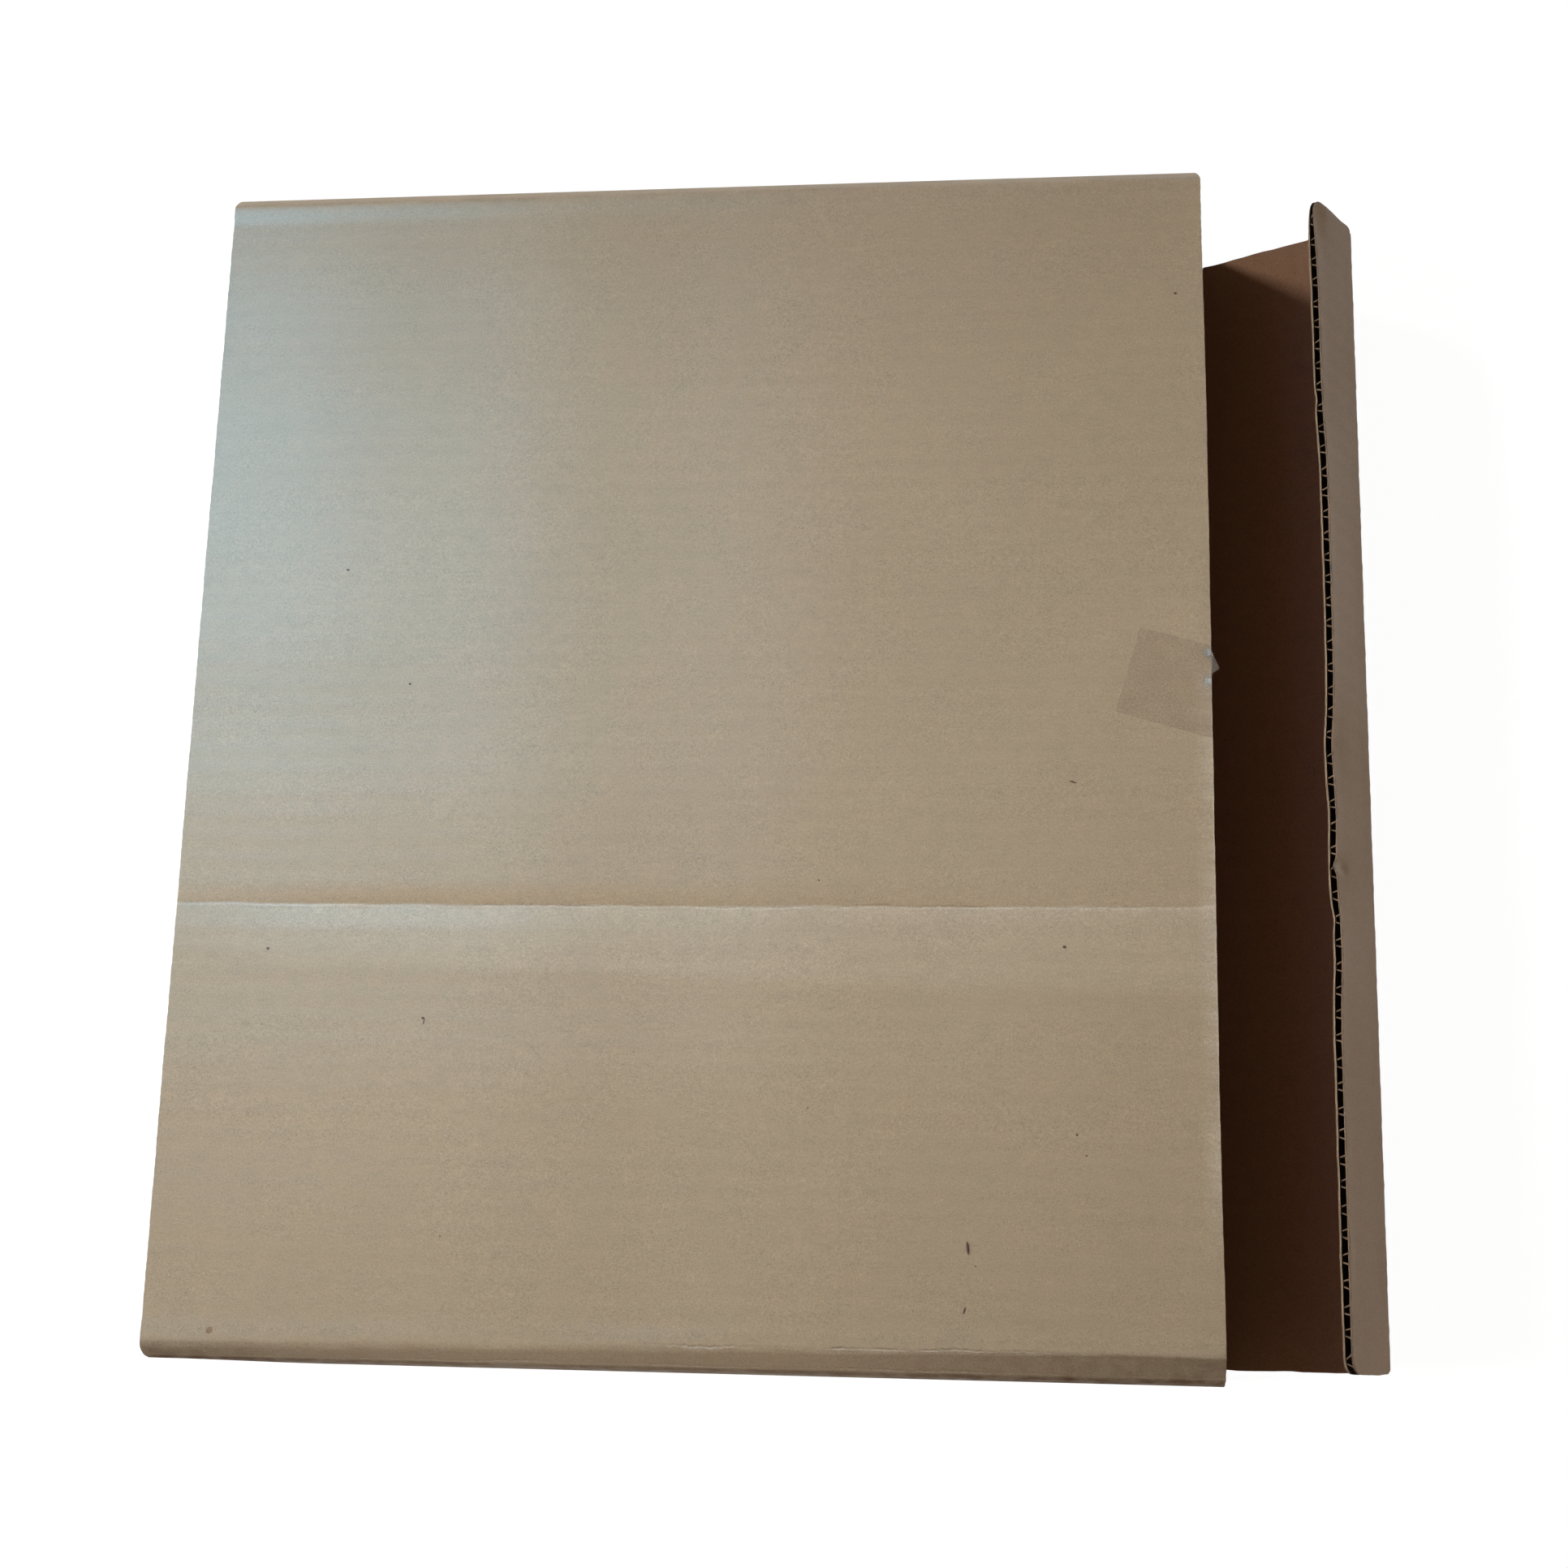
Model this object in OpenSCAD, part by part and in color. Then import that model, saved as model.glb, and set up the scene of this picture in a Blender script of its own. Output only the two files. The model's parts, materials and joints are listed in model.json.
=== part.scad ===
// Shallow tuck-end carton of single-wall corrugated board, lying on its large face.
// The flutes run along X. The right end is open: its lid rises from the bottom panel,
// and the lid's tuck tab is folded back up. X right, Y back, Z up, in millimetres.
// The origin is the middle of the bottom panel's outer face.

/* [Board] */
// Thickness of the board
board_t = 3; // [2.4:0.1:5]
// Thickness of each facing liner
liner_t = 0.55; // [0.3:0.05:0.8]
// Thickness of the fluted medium
medium_t = 0.45; // [0.2:0.05:0.6]
// Length of one flute wave
flute_pitch = 6.5; // [5:0.1:9]
// Width of a flute cell where it is narrowest
flute_crest = 1.4; // [0.8:0.1:2]
// Sideways lean of the flute webs
flute_lean = 0.5; // [0:0.1:0.8]

/* [Carton] */
// Length of the carton along the flutes
carton_l = 292.4; // [150:1:500]
// Width of the carton from front wall to back wall
carton_w = 346.4; // [200:1:600]
// Height of the carton over its top and bottom panels
carton_h = 55; // [45:1:120]
// Bevel that the front fold of the top panel has worn to
front_bevel = 5.5; // [4:0.5:10]
// Thickness that the board is crushed to at that fold
crushed_t = 1.6; // [1:0.1:3]
// Bevel of the other three long folds
fold_bevel = 3.5; // [2.5:0.5:8]

/* [Dent across the top panel] */
// Distance of the pressed line from the back wall
dent_from_back = 220; // [60:1:300]
// Width of the pressed line
dent_w = 9; // [4:0.5:14]
// Depth of the pressed line
dent_depth = 1.1; // [0.5:0.1:1.8]

/* [End lid] */
// Length of the lid along its fold
lid_l = 335.5; // [180:0.5:580]
// How far the lid sits behind the carton's middle, in front if below 0
lid_shift = -1.9; // [-2:0.1:2]
// Angle of the open lid above the table
lid_angle = 29.4; // [0:0.1:90]
// Distance of the lid's fold line beyond the top panel's edge
lid_setout = 3.4; // [0.5:0.1:6]
// Gap under the top panel when the lid is shut
lid_clearance = 0.4; // [0.2:0.1:2]
// Gap between boards that meet along a fold line
fold_gap = 0.15; // [0.1:0.05:0.4]

/* [Tuck tab] */
// Width of the tab from its fold to its free edge
tab_w = 24; // [12:1:30]
// Angle between the tab and the lid's own plane, bent inwards
tab_bend = 90; // [75:0.1:120]
// Least bend of the tab over the lid's travel
tab_bend_least = 73; // [60:1:75]
// Corner radius at the ends of the tab's free edge
tab_corner_r = 4.6; // [1:0.1:10]

/* [Glued joint] */
// Height of the glued flap on the inside of the back wall
glue_flap_h = 30; // [15:1:36]
// Set-back of the glued flap's ends at the bottom fold
glue_flap_inset = 4; // [1:0.5:20]
// Slant of the glued flap's ends
glue_flap_slant = 9; // [0:0.5:30]

/* [Tape remnant] */
// Width of the strip of clear film
tape_w = 25.5; // [16:0.5:50]
// Length of the strip that is left on the top panel
tape_l = 24; // [10:0.5:60]
// Thickness of the film with its adhesive
tape_t = 0.12; // [0.05:0.01:0.3]
// Where the strip's middle meets the panel's edge, behind the carton's middle
tape_y = 13.4; // [-100:0.1:100]
// Angle of the strip to the flutes
tape_turn = 16.5; // [0:0.5:30]
// How far the torn film stands out past the panel's edge
tape_tear = 2.5; // [0.5:0.1:3]

/* [Hidden] */
$fn = 48;
kraft = "#a08567";
kraft_inside = "#8a7058";
film = "#a58f7c";
eps = 0.01;
half_l = carton_l / 2;
half_w = carton_w / 2;
flute_h = board_t - 2 * liner_t;
dent_y = half_w - dent_from_back;
hinge_x = half_l + lid_setout;
// From the lid's fold line to the tab's, so that the shut lid's fold clears the top panel
lid_w = carton_h - 3 * board_t - lid_clearance;
// How far the strip's edge has shrunk back from the panel's edge
film_back = 0.3;
fold_reach = sqrt(2) * board_t;

// Bevel on the inside of a fold whose board is t thick there
function inner_bevel(b, t = board_t) = max(b - 2 * board_t + sqrt(2) * t, 0.2);

// Outline across the carton, with a bevel at each of its four long folds
module fold_outline(inset, bevel_front, bevel_rest) {
    w = half_w - inset;
    low = inset;
    high = carton_h - inset;
    polygon([
        [-w, low + bevel_rest], [-w + bevel_rest, low],
        [w - bevel_rest, low], [w, low + bevel_rest],
        [w, high - bevel_rest], [w - bevel_rest, high],
        [-w + bevel_front, high], [-w, high - bevel_front]
    ]);
}

// One cell between the medium and a liner, as wide as it gets at y = 0
module flute_cell() {
    foot = flute_pitch - flute_crest + 0.2;
    rise = flute_h - medium_t;
    polygon([
        [-foot / 2, 0], [foot / 2, 0],
        [flute_crest / 2 + flute_lean, rise], [-flute_crest / 2 + flute_lean, rise]
    ]);
}

// The open cells of a board from x = 0 to x = len, whose face is at y = 0.
// Cells against one liner alternate with cells against the other.
module flute_cells(len) {
    count = floor(len / flute_pitch - 0.25);
    start = (len - count * flute_pitch) / 2;
    for (i = [0:count - 1]) {
        middle = start + (i + 0.5) * flute_pitch;
        translate([middle, liner_t]) flute_cell();
        if (i < count - 1)
            translate([middle + flute_pitch / 2, board_t - liner_t])
                rotate(180) flute_cell();
    }
}

// Pressed line in the top panel: a shallow V with its far side steeper
module dent() {
    polygon([
        [dent_y - dent_w * 0.6, carton_h + eps], [dent_y, carton_h - dent_depth],
        [dent_y + dent_w * 0.4, carton_h + eps]
    ]);
}

// Section of the tube across the flutes
module tube_section() {
    top_back = half_w - fold_bevel - board_t;
    top_front = half_w - front_bevel - board_t;
    side_h = carton_h - 2 * fold_bevel - 2 * board_t;
    dent_half = dent_w * 0.75;
    difference() {
        fold_outline(0, front_bevel, fold_bevel);
        fold_outline(board_t, inner_bevel(front_bevel, crushed_t), inner_bevel(fold_bevel));
        dent();
        translate([dent_y + dent_half, carton_h - board_t])
            flute_cells(top_back - dent_y - dent_half);
        translate([-top_front, carton_h - board_t])
            flute_cells(top_front + dent_y - dent_half);
        translate([-top_back, 0]) flute_cells(2 * top_back);
        translate([half_w, fold_bevel + board_t]) rotate(90) flute_cells(side_h);
        translate([-half_w + board_t, fold_bevel + board_t])
            rotate(90) flute_cells(side_h - front_bevel + fold_bevel);
    }
}

// Turns a section drawn in Y and Z into a solid along X
module along_x(len) {
    rotate([90, 0, 90]) linear_extrude(len) children();
}

// Turns a section drawn in X and Z into a solid along Y, centred on the carton
module along_y(len) {
    rotate([90, 0, 0]) linear_extrude(len, center = true) children();
}

// The tube. Its bottom panel runs on past the mouth to the lid's fold line,
// and gives way to the fold of the shut lid at the left end
module tube() {
    difference() {
        translate([-half_l, 0, 0]) along_x(carton_l + lid_setout) tube_section();
        difference() {
            translate([half_l, -carton_w, -1])
                cube([lid_setout + 1, 2 * carton_w, carton_h + 2]);
            translate([half_l - 1, lid_shift - lid_l / 2, -2])
                cube([lid_setout + 3, lid_l, board_t + 2]);
        }
        translate([-half_l - 1, lid_shift - lid_l / 2, -1])
            cube([board_t + 1, lid_l, board_t + 1]);
    }
}

// The shut lid of the left end, with its tab glued under the top panel
module glued_end() {
    high = carton_h - board_t;
    translate([-half_l, lid_shift, 0]) along_y(lid_l) {
        translate([0, board_t]) square([board_t, high - 2 * board_t]);
        for (fold_z = [board_t, high - board_t])
            intersection() {
                translate([board_t, fold_z]) circle(board_t);
                square([board_t, high]);
            }
        translate([board_t - liner_t, 0]) square([2 * liner_t, board_t]);
        translate([board_t - liner_t, high - board_t])
            square([liner_t + tab_w, board_t + liner_t / 2]);
    }
}

// The maker's glued flap on the inside of the back wall
module glue_flap() {
    reach = half_l - glue_flap_inset;
    translate([0, half_w - board_t / 2, board_t - liner_t / 2])
        rotate([90, 0, 0]) linear_extrude(board_t * 1.5)
            polygon([
                [-reach, 0], [reach, 0],
                [reach - glue_flap_slant, glue_flap_h],
                [-reach + glue_flap_slant, glue_flap_h]
            ]);
}

// The board that lies on its outer face, from the fold line at X = 0 to X = w
module fluted_board(w, len) {
    translate([fold_gap, -len / 2, -board_t])
        along_x(w - fold_gap) difference() {
            square([len, board_t]);
            translate([liner_t, 0]) flute_cells(len - 2 * liner_t);
        }
}

// Places what is drawn flat, from a fold line at the origin, at the lid
module at_lid() {
    translate([hinge_x, lid_shift, board_t]) rotate([0, -lid_angle, 0]) children();
}

// Places what is drawn flat, from a fold line at the origin, at the tab
module at_tab() {
    at_lid() translate([lid_w, 0, 0]) rotate([0, -tab_bend, 0]) children();
}

// The round outside of the tab's fold, as far as the least bend lets it reach
module fold_round() {
    along_y(lid_l) intersection() {
        circle(board_t);
        polygon([
            [-eps, 0], [-eps, -2 * board_t], [fold_reach, -2 * board_t],
            2 * board_t * [cos(tab_bend_least - 90), sin(tab_bend_least - 90)]
        ]);
    }
}

module box_body() {
    color(kraft) union() {
        tube();
        glued_end();
        glue_flap();
    }
}

module end_lid() {
    color(kraft) at_lid() union() {
        fluted_board(lid_w, lid_l);
        translate([lid_w, 0, 0]) fold_round();
    }
}

module tuck_tab() {
    corner = tab_corner_r;
    color(kraft_inside) at_tab() intersection() {
        fluted_board(tab_w, lid_l);
        translate([0, 0, -2 * board_t]) linear_extrude(3 * board_t) union() {
            translate([-board_t, -lid_l / 2]) square([tab_w + board_t - corner, lid_l]);
            translate([0, -lid_l / 2 + corner]) square([tab_w, lid_l - 2 * corner]);
            for (side = [-1, 1])
                translate([tab_w - corner, side * (lid_l / 2 - corner)]) circle(corner);
        }
    }
}

// Strip of clear film on the top panel, torn off at the panel's edge
module tape_remnant() {
    half = tape_w / 2;
    across = half / cos(tape_turn);
    slope = film_back * tan(tape_turn);
    side = [sin(tape_turn), cos(tape_turn)] * half;
    cut = [-cos(tape_turn), sin(tape_turn)] * tape_l;
    color(film) translate([half_l, tape_y, carton_h]) linear_extrude(tape_t)
        polygon([
            cut - side, [-film_back, slope - across],
            [-film_back, half * 0.39], [tape_tear, half * 0.52], [-film_back, half * 0.94],
            [-film_back, slope + across], cut + side
        ]);
}

box_body();
end_lid();
tuck_tab();
tape_remnant();
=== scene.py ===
"""Looks of a shallow tuck-end carton of plain kraft board, lying flat with its lid half open."""

import json
import logging
import math
from dataclasses import dataclass, field, replace
from enum import Enum
from typing import Union

import bpy
import numpy as np
from mathutils import Matrix, Vector


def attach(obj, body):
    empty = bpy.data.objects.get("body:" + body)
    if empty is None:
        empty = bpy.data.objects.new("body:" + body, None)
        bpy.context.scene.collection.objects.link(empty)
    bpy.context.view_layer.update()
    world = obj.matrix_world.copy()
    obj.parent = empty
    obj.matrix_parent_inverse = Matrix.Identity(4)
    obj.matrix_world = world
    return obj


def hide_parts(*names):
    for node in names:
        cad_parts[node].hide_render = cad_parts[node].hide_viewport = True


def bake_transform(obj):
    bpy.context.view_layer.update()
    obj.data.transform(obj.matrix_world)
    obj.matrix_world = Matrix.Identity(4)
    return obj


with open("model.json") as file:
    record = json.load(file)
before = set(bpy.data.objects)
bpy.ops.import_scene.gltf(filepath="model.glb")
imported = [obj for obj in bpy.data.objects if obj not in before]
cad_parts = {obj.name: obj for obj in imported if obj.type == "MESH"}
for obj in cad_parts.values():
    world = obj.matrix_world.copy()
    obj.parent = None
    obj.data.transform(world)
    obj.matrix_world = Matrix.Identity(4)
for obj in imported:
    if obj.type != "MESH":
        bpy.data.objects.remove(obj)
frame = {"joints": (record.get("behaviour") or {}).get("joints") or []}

LOG = logging.getLogger("carton")
MM = 0.001
SHEET_EDGE = 38.0
WAVE_EDGE = 50.0
WHITE = (1.0, 1.0, 1.0, 1.0)

Grid = np.ndarray
Thing = bpy.types.Object
Material = bpy.types.Material
Socket = bpy.types.NodeSocket
Term = Union["Value", float]
Triple = tuple[float, float, float]


class Slot(Enum):
    """Material slots of the record."""

    BOARD = "kraft_board"
    FILM = "tape_film"


class Body(Enum):
    """Parts of the carton that move against each other."""

    CARTON = "carton"
    LID = "lid"
    TAB = "tab"


def linear(code: str) -> tuple[float, float, float, float]:
    """Turns a colour as it looks on a screen into the values that a shader takes.

    Args:
        code: Six hexadecimal digits after a hash sign.

    Returns:
        Linear red, green and blue, and an alpha of 1.
    """
    parts = [int(code[i : i + 2], 16) / 255 for i in (1, 3, 5)]
    shades = [p / 12.92 if p <= 0.04045 else ((p + 0.055) / 1.055) ** 2.4 for p in parts]
    return (*shades, 1.0)


def ease(low: float, high: float, value: Grid) -> Grid:
    """Rises smoothly from 0 at low to 1 at high, which may lie below low."""
    t = np.clip((value - low) / (high - low), 0.0, 1.0)
    return t * t * (3 - 2 * t)


def hump(value: Grid, middle: float, spread: float) -> Grid:
    """Is 1 at the middle and falls off like a bell on both sides."""
    return np.exp(-(((value - middle) / spread) ** 2))


def rounded(radius: float, past: Grid) -> Grid:
    """Gives what a rounded corner takes off an edge, by the distance past the corner's start."""
    past = np.clip(past, 0, radius)
    return radius - np.sqrt(radius**2 - past**2)


@dataclass(frozen=True)
class Ripple:
    """A smooth, irregular line: a few sine waves of fixed random phase."""

    seed: int
    height: float
    lengths: tuple[float, ...]

    def __call__(self, value: Grid) -> Grid:
        """Gives the line's height at each value, in the units of height.

        Args:
            value: Places along the line.

        Returns:
            The heights.
        """
        draw = np.random.default_rng(self.seed)
        total = np.zeros_like(value, dtype=float)
        for length in self.lengths:
            phase = draw.uniform(0, 2 * math.pi)
            stretch = draw.uniform(0.85, 1.15)
            total += np.sin(2 * math.pi * value / (length * stretch) + phase)
        return self.height * total / len(self.lengths)


# Node trees


class Value:
    """A number on its way through a node tree. Arithmetic on it adds Math nodes."""

    def __init__(self, graph: "Graph", socket: Socket) -> None:
        """Wraps an output socket of a graph."""
        self.graph = graph
        self.socket = socket

    def _math(self, operation: str, *terms: Term) -> "Value":
        """Adds one Math node with its inputs in order."""
        made = self.graph.node("ShaderNodeMath", dict(enumerate(terms)), operation=operation)
        return Value(self.graph, made.outputs[0])

    def __add__(self, other: Term) -> "Value":
        """Adds."""
        return self._math("ADD", self, other)

    __radd__ = __add__

    def __sub__(self, other: Term) -> "Value":
        """Takes other away."""
        return self._math("SUBTRACT", self, other)

    def __mul__(self, other: Term) -> "Value":
        """Multiplies."""
        return self._math("MULTIPLY", self, other)

    __rmul__ = __mul__

    def __truediv__(self, other: Term) -> "Value":
        """Divides by other."""
        return self._math("DIVIDE", self, other)

    def __abs__(self) -> "Value":
        """Drops the sign."""
        return self._math("ABSOLUTE", self)

    def sine(self) -> "Value":
        """Takes the sine of an angle in radians."""
        return self._math("SINE", self)

    def cosine(self) -> "Value":
        """Takes the cosine of an angle in radians."""
        return self._math("COSINE", self)

    def least(self, other: Term) -> "Value":
        """Takes the smaller of the two."""
        return self._math("MINIMUM", self, other)

    def most(self, other: Term) -> "Value":
        """Takes the larger of the two."""
        return self._math("MAXIMUM", self, other)

    def rise(self, low: float, high: float) -> "Value":
        """Rises smoothly from 0 at low to 1 at high.

        Args:
            low: Where the rise starts.
            high: Where it ends.

        Returns:
            The risen number.
        """
        ranges = {"From Min": low, "From Max": high, "Value": self}
        made = self.graph.node("ShaderNodeMapRange", ranges, interpolation_type="SMOOTHSTEP")
        return Value(self.graph, made.outputs[0])


class Graph:
    """A node tree in the making, for a material, the world or Geometry Nodes."""

    def __init__(self, tree: bpy.types.NodeTree) -> None:
        """Empties the tree and starts on it."""
        self.tree = tree
        self.tree.nodes.clear()

    @classmethod
    def of(cls, owner: bpy.types.ID) -> "Graph":
        """Starts on the tree of a material or world."""
        owner.use_nodes = True
        return cls(owner.node_tree)

    def node(
        self, kind: str, inputs: dict[str | int, object] | None = None, **settings: object
    ) -> bpy.types.Node:
        """Adds a node.

        Args:
            kind: The node's type.
            inputs: Values or links, by a socket's identifier, name or number.
            **settings: Its properties, which are set first.

        Returns:
            The new node.
        """
        made = self.tree.nodes.new(kind)
        made.location = (190 * (len(self.tree.nodes) % 24), -230 * (len(self.tree.nodes) // 24))
        for name, setting in settings.items():
            setattr(made, name, setting)
        for key, given in (inputs or {}).items():
            socket = self._find(made.inputs, key)
            given = given.socket if isinstance(given, Value) else given
            if isinstance(given, Socket):
                self.tree.links.new(given, socket)
            else:
                socket.default_value = given
        return made

    @staticmethod
    def _find(sockets: bpy.types.NodeInputs, key: str | int) -> Socket:
        """Finds a socket by its identifier, name or number.

        Args:
            sockets: A node's inputs or outputs.
            key: What to look for.

        Returns:
            The first one that is in use.
        """
        if isinstance(key, int):
            return sockets[key]
        for socket in sockets:
            if socket.identifier == key:
                return socket
        return next(s for s in sockets if s.name == key and s.enabled)

    def value(self, node: bpy.types.Node, output: str | int = 0) -> Value:
        """Wraps one output of a node as a number."""
        return Value(self, self._find(node.outputs, output))

    def noise(self, vector: object, scale: float | Triple, detail: float = 2.0) -> Value:
        """Adds a noise of about 0.5 on average.

        Args:
            vector: Where it is read.
            scale: Waves in a metre, the same each way or by axis.
            detail: How many finer layers it has.

        Returns:
            The noise as a number.
        """
        if isinstance(scale, tuple):
            vector = self.node("ShaderNodeMapping", {"Vector": vector, "Scale": scale}).outputs[0]
            scale = 1.0
        inputs = {"Vector": vector, "Scale": scale, "Detail": detail}
        return self.value(self.node("ShaderNodeTexNoise", inputs, noise_dimensions="3D"))

    def mix(self, factor: Term, first: object, second: object) -> Socket:
        """Goes from the first colour to the second as factor goes from 0 to 1."""
        inputs = {"Factor_Float": factor, "A_Color": first, "B_Color": second}
        return self._find(self.node("ShaderNodeMix", inputs, data_type="RGBA").outputs, "Result_Color")

    def scaled(self, vector: object, factor: Value) -> Socket:
        """Multiplies a colour or vector by a number."""
        inputs = {0: vector, "Scale": factor}
        return self.node("ShaderNodeVectorMath", inputs, operation="SCALE").outputs[0]

    def mark(self, name: str) -> Value:
        """Reads a number that is kept at the points of the mesh."""
        return self.value(self.node("ShaderNodeAttribute", attribute_name=name), "Fac")

    def object_place(self) -> Socket:
        """Reads the place on the object, in metres."""
        return self.node("ShaderNodeTexCoord").outputs["Object"]

    def bump(self, height: Value, strength: float, distance: float) -> Socket:
        """Turns a height into a bumped normal."""
        inputs = {"Strength": strength, "Distance": distance, "Height": height}
        return self.node("ShaderNodeBump", inputs).outputs[0]

    def paint(self, inputs: dict[str, object]) -> Socket:
        """Adds the main surface shader."""
        return self.node("ShaderNodeBsdfPrincipled", inputs).outputs[0]

    def close(self, shader: Socket, kind: str = "ShaderNodeOutputMaterial") -> None:
        """Ends a material's or the world's tree in a shader."""
        self.node(kind, {"Surface": shader})


# Finishes


@dataclass(frozen=True)
class KraftPaper:
    """Brown kraft paper: a warm mottle, fine fibres, a few flecks and a soft tooth.

    It reads six marks of the mesh: "rub" where the paper is worn pale and where a
    highlight is painted, "cut" along a cut edge, "soil" where wear has browned it and
    where shade is painted, "hollow" for painted shade on the side towards the flutes, and
    "fray" and "off" for a torn line: how strong it is, and the distance in millimetres.
    """

    name: str
    colour: str
    # Darker than the face: painted shade on cut edges that face the light.
    cut: str = "#6f5844"
    pale: str = "#bdb19f"
    deep: str = "#7f6248"
    # Brown of worn paper, also used for painted shade and for the painted shadow behind a torn line.
    worn: str = "#5f4a38"
    # Near black: painted shade on the liners' side towards the flutes.
    hollow: str = "#160e08"
    roughness: float = 0.41
    specular: float = 0.12
    ridges: float = 0.0
    flute_pitch: float = 6.5

    def build(self) -> Material:
        """Makes the material, which reads Object coordinates, the board's map and the marks.

        Returns:
            The material.
        """
        material = bpy.data.materials.new(self.name)
        graph = Graph.of(material)
        place = graph.object_place()
        cloud = graph.noise(place, 16.0, 3.0)
        mottle = graph.noise(place, 230.0, 5.0)
        grain = graph.noise(place, 1500.0, 3.0)
        dust = graph.noise(place, 3600.0, 1.0)
        fibre = graph.noise(place, (260.0, 900.0, 900.0), 3.0)
        fleck = graph.noise(place, (600.0, 900.0, 900.0), 1.0).rise(0.74, 0.8)
        tone = 1 + (cloud - 0.5) * 0.12 + (mottle - 0.5) * 0.34 + (grain - 0.5) * 0.36
        tone = tone + (fibre - 0.5) * 0.14 + (dust - 0.5) * 0.85
        if self.ridges:
            tone = tone + self._ridge_tone(graph, place)
        torn, shadow = self._torn_line(graph, place)
        # Browned wear, and painted shade on the front fold and wall.
        soil = graph.mark("soil") * (0.6 + mottle.rise(0.3, 0.7) * 0.45)
        cut = graph.mark("cut")
        colour = graph.mix(mottle.rise(0.25, 0.75) * 0.16, linear(self.colour), linear(self.deep))
        # Over the mottle: flecks; worn brown with painted shade and the torn line's painted shadow; pale
        # wear and painted highlights; the torn line, partly a painted highlight; painted shade towards
        # the flutes; the cut edges' colour, darkened on the liners as painted shade.
        layers = (
            (fleck * 0.25, self.deep),
            ((soil + shadow).least(1.0), self.worn),
            (graph.mark("rub") * (0.6 + grain * 0.6), self.pale),
            (torn.least(1.0), self.pale),
            (graph.mark("hollow"), self.hollow),
            (cut, self.cut),
        )
        for strength, shade in layers:
            colour = graph.mix(strength, colour, linear(shade))
        height = grain * 0.45 + fibre * 0.3 + mottle * 0.35 + torn * 1.2
        rough = (grain - 0.5) * 0.12 + self.roughness + (cut + soil) * 0.45
        surface = {
            "Base Color": graph.scaled(colour, tone),
            "Roughness": rough.least(1.0),
            "Specular IOR Level": self.specular,
            "Normal": graph.bump(height, 0.35, 0.00012),
        }
        graph.close(graph.paint(surface))
        return material

    def _ridge_tone(self, graph: Graph, place: Socket) -> Value:
        """Darkens the paper a little where the flutes' crests print through.

        Args:
            graph: The material's tree.
            place: Object coordinates.

        Returns:
            What is added to the tone.
        """
        board = graph.node("ShaderNodeUVMap", uv_map="board").outputs[0]
        across = graph.value(graph.node("ShaderNodeSeparateXYZ", {0: board}), "X")
        wave = (across * (2 * math.pi / (self.flute_pitch * MM))).cosine()
        strong = graph.noise(place, (9.0, 60.0, 60.0), 2.0).rise(0.3, 0.7)
        return wave * (0.35 + strong) * self.ridges

    @staticmethod
    def _torn_line(graph: Graph, place: Socket) -> tuple[Value, Value]:
        """Draws a ragged pale line of torn fibres, partly a painted highlight, and the thin painted
        shadow behind it.

        Args:
            graph: The material's tree.
            place: Object coordinates.

        Returns:
            The strengths of the torn line and of the shadow.
        """
        sway = graph.noise(place, (75.0, 12.0, 12.0), 3.0) - 0.5
        jag = graph.noise(place, (650.0, 60.0, 60.0), 2.0) - 0.5
        off = graph.mark("off") + sway * 2.6 + jag * 0.8
        long = graph.noise(place, (55.0, 20.0, 20.0), 4.0).rise(0.38, 0.62)
        short = graph.noise(place, (420.0, 700.0, 700.0), 3.0).rise(0.34, 0.62)
        strength = graph.mark("fray")
        broken = (long * 0.75 + short * 0.6 - 0.35).most(0.0)
        line = abs(off).rise(0.42, 0.12) * broken * strength
        shadow = abs(off - 0.6).rise(0.5, 0.1) * (0.08 + broken * 0.45) * strength
        return line, shadow


@dataclass(frozen=True)
class ClearFilm:
    """Clear packing film, browned by its adhesive, and whitish where it has come loose: a painted
    highlight where the lifted film catches the light.
    """

    name: str
    colour: str = "#9a866f"
    # Whitish: painted highlight of the lifted film.
    loose: str = "#c4c8cb"
    roughness: float = 0.36
    cover: float = 0.07

    def build(self) -> Material:
        """Makes the part-clear material, which reads Object coordinates and the mark "loose".

        Returns:
            The material.
        """
        material = bpy.data.materials.new(self.name)
        graph = Graph.of(material)
        place = graph.object_place()
        cloud = graph.noise(place, 170.0, 3.0)
        speck = graph.noise(place, 900.0, 2.0)
        loose = graph.mark("loose")
        pale = loose * speck.rise(0.25, 0.6)
        surface = {
            "Base Color": graph.mix(pale, linear(self.colour), linear(self.loose)),
            "Roughness": (speck - 0.5) * 0.2 + self.roughness,
            "Specular IOR Level": 0.3,
            "Alpha": (self.cover + (cloud - 0.5) * 0.08 + loose * 0.4).least(0.95),
            "Normal": graph.bump(cloud, 0.3, 0.0002),
        }
        graph.close(graph.paint(surface))
        return material


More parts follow.
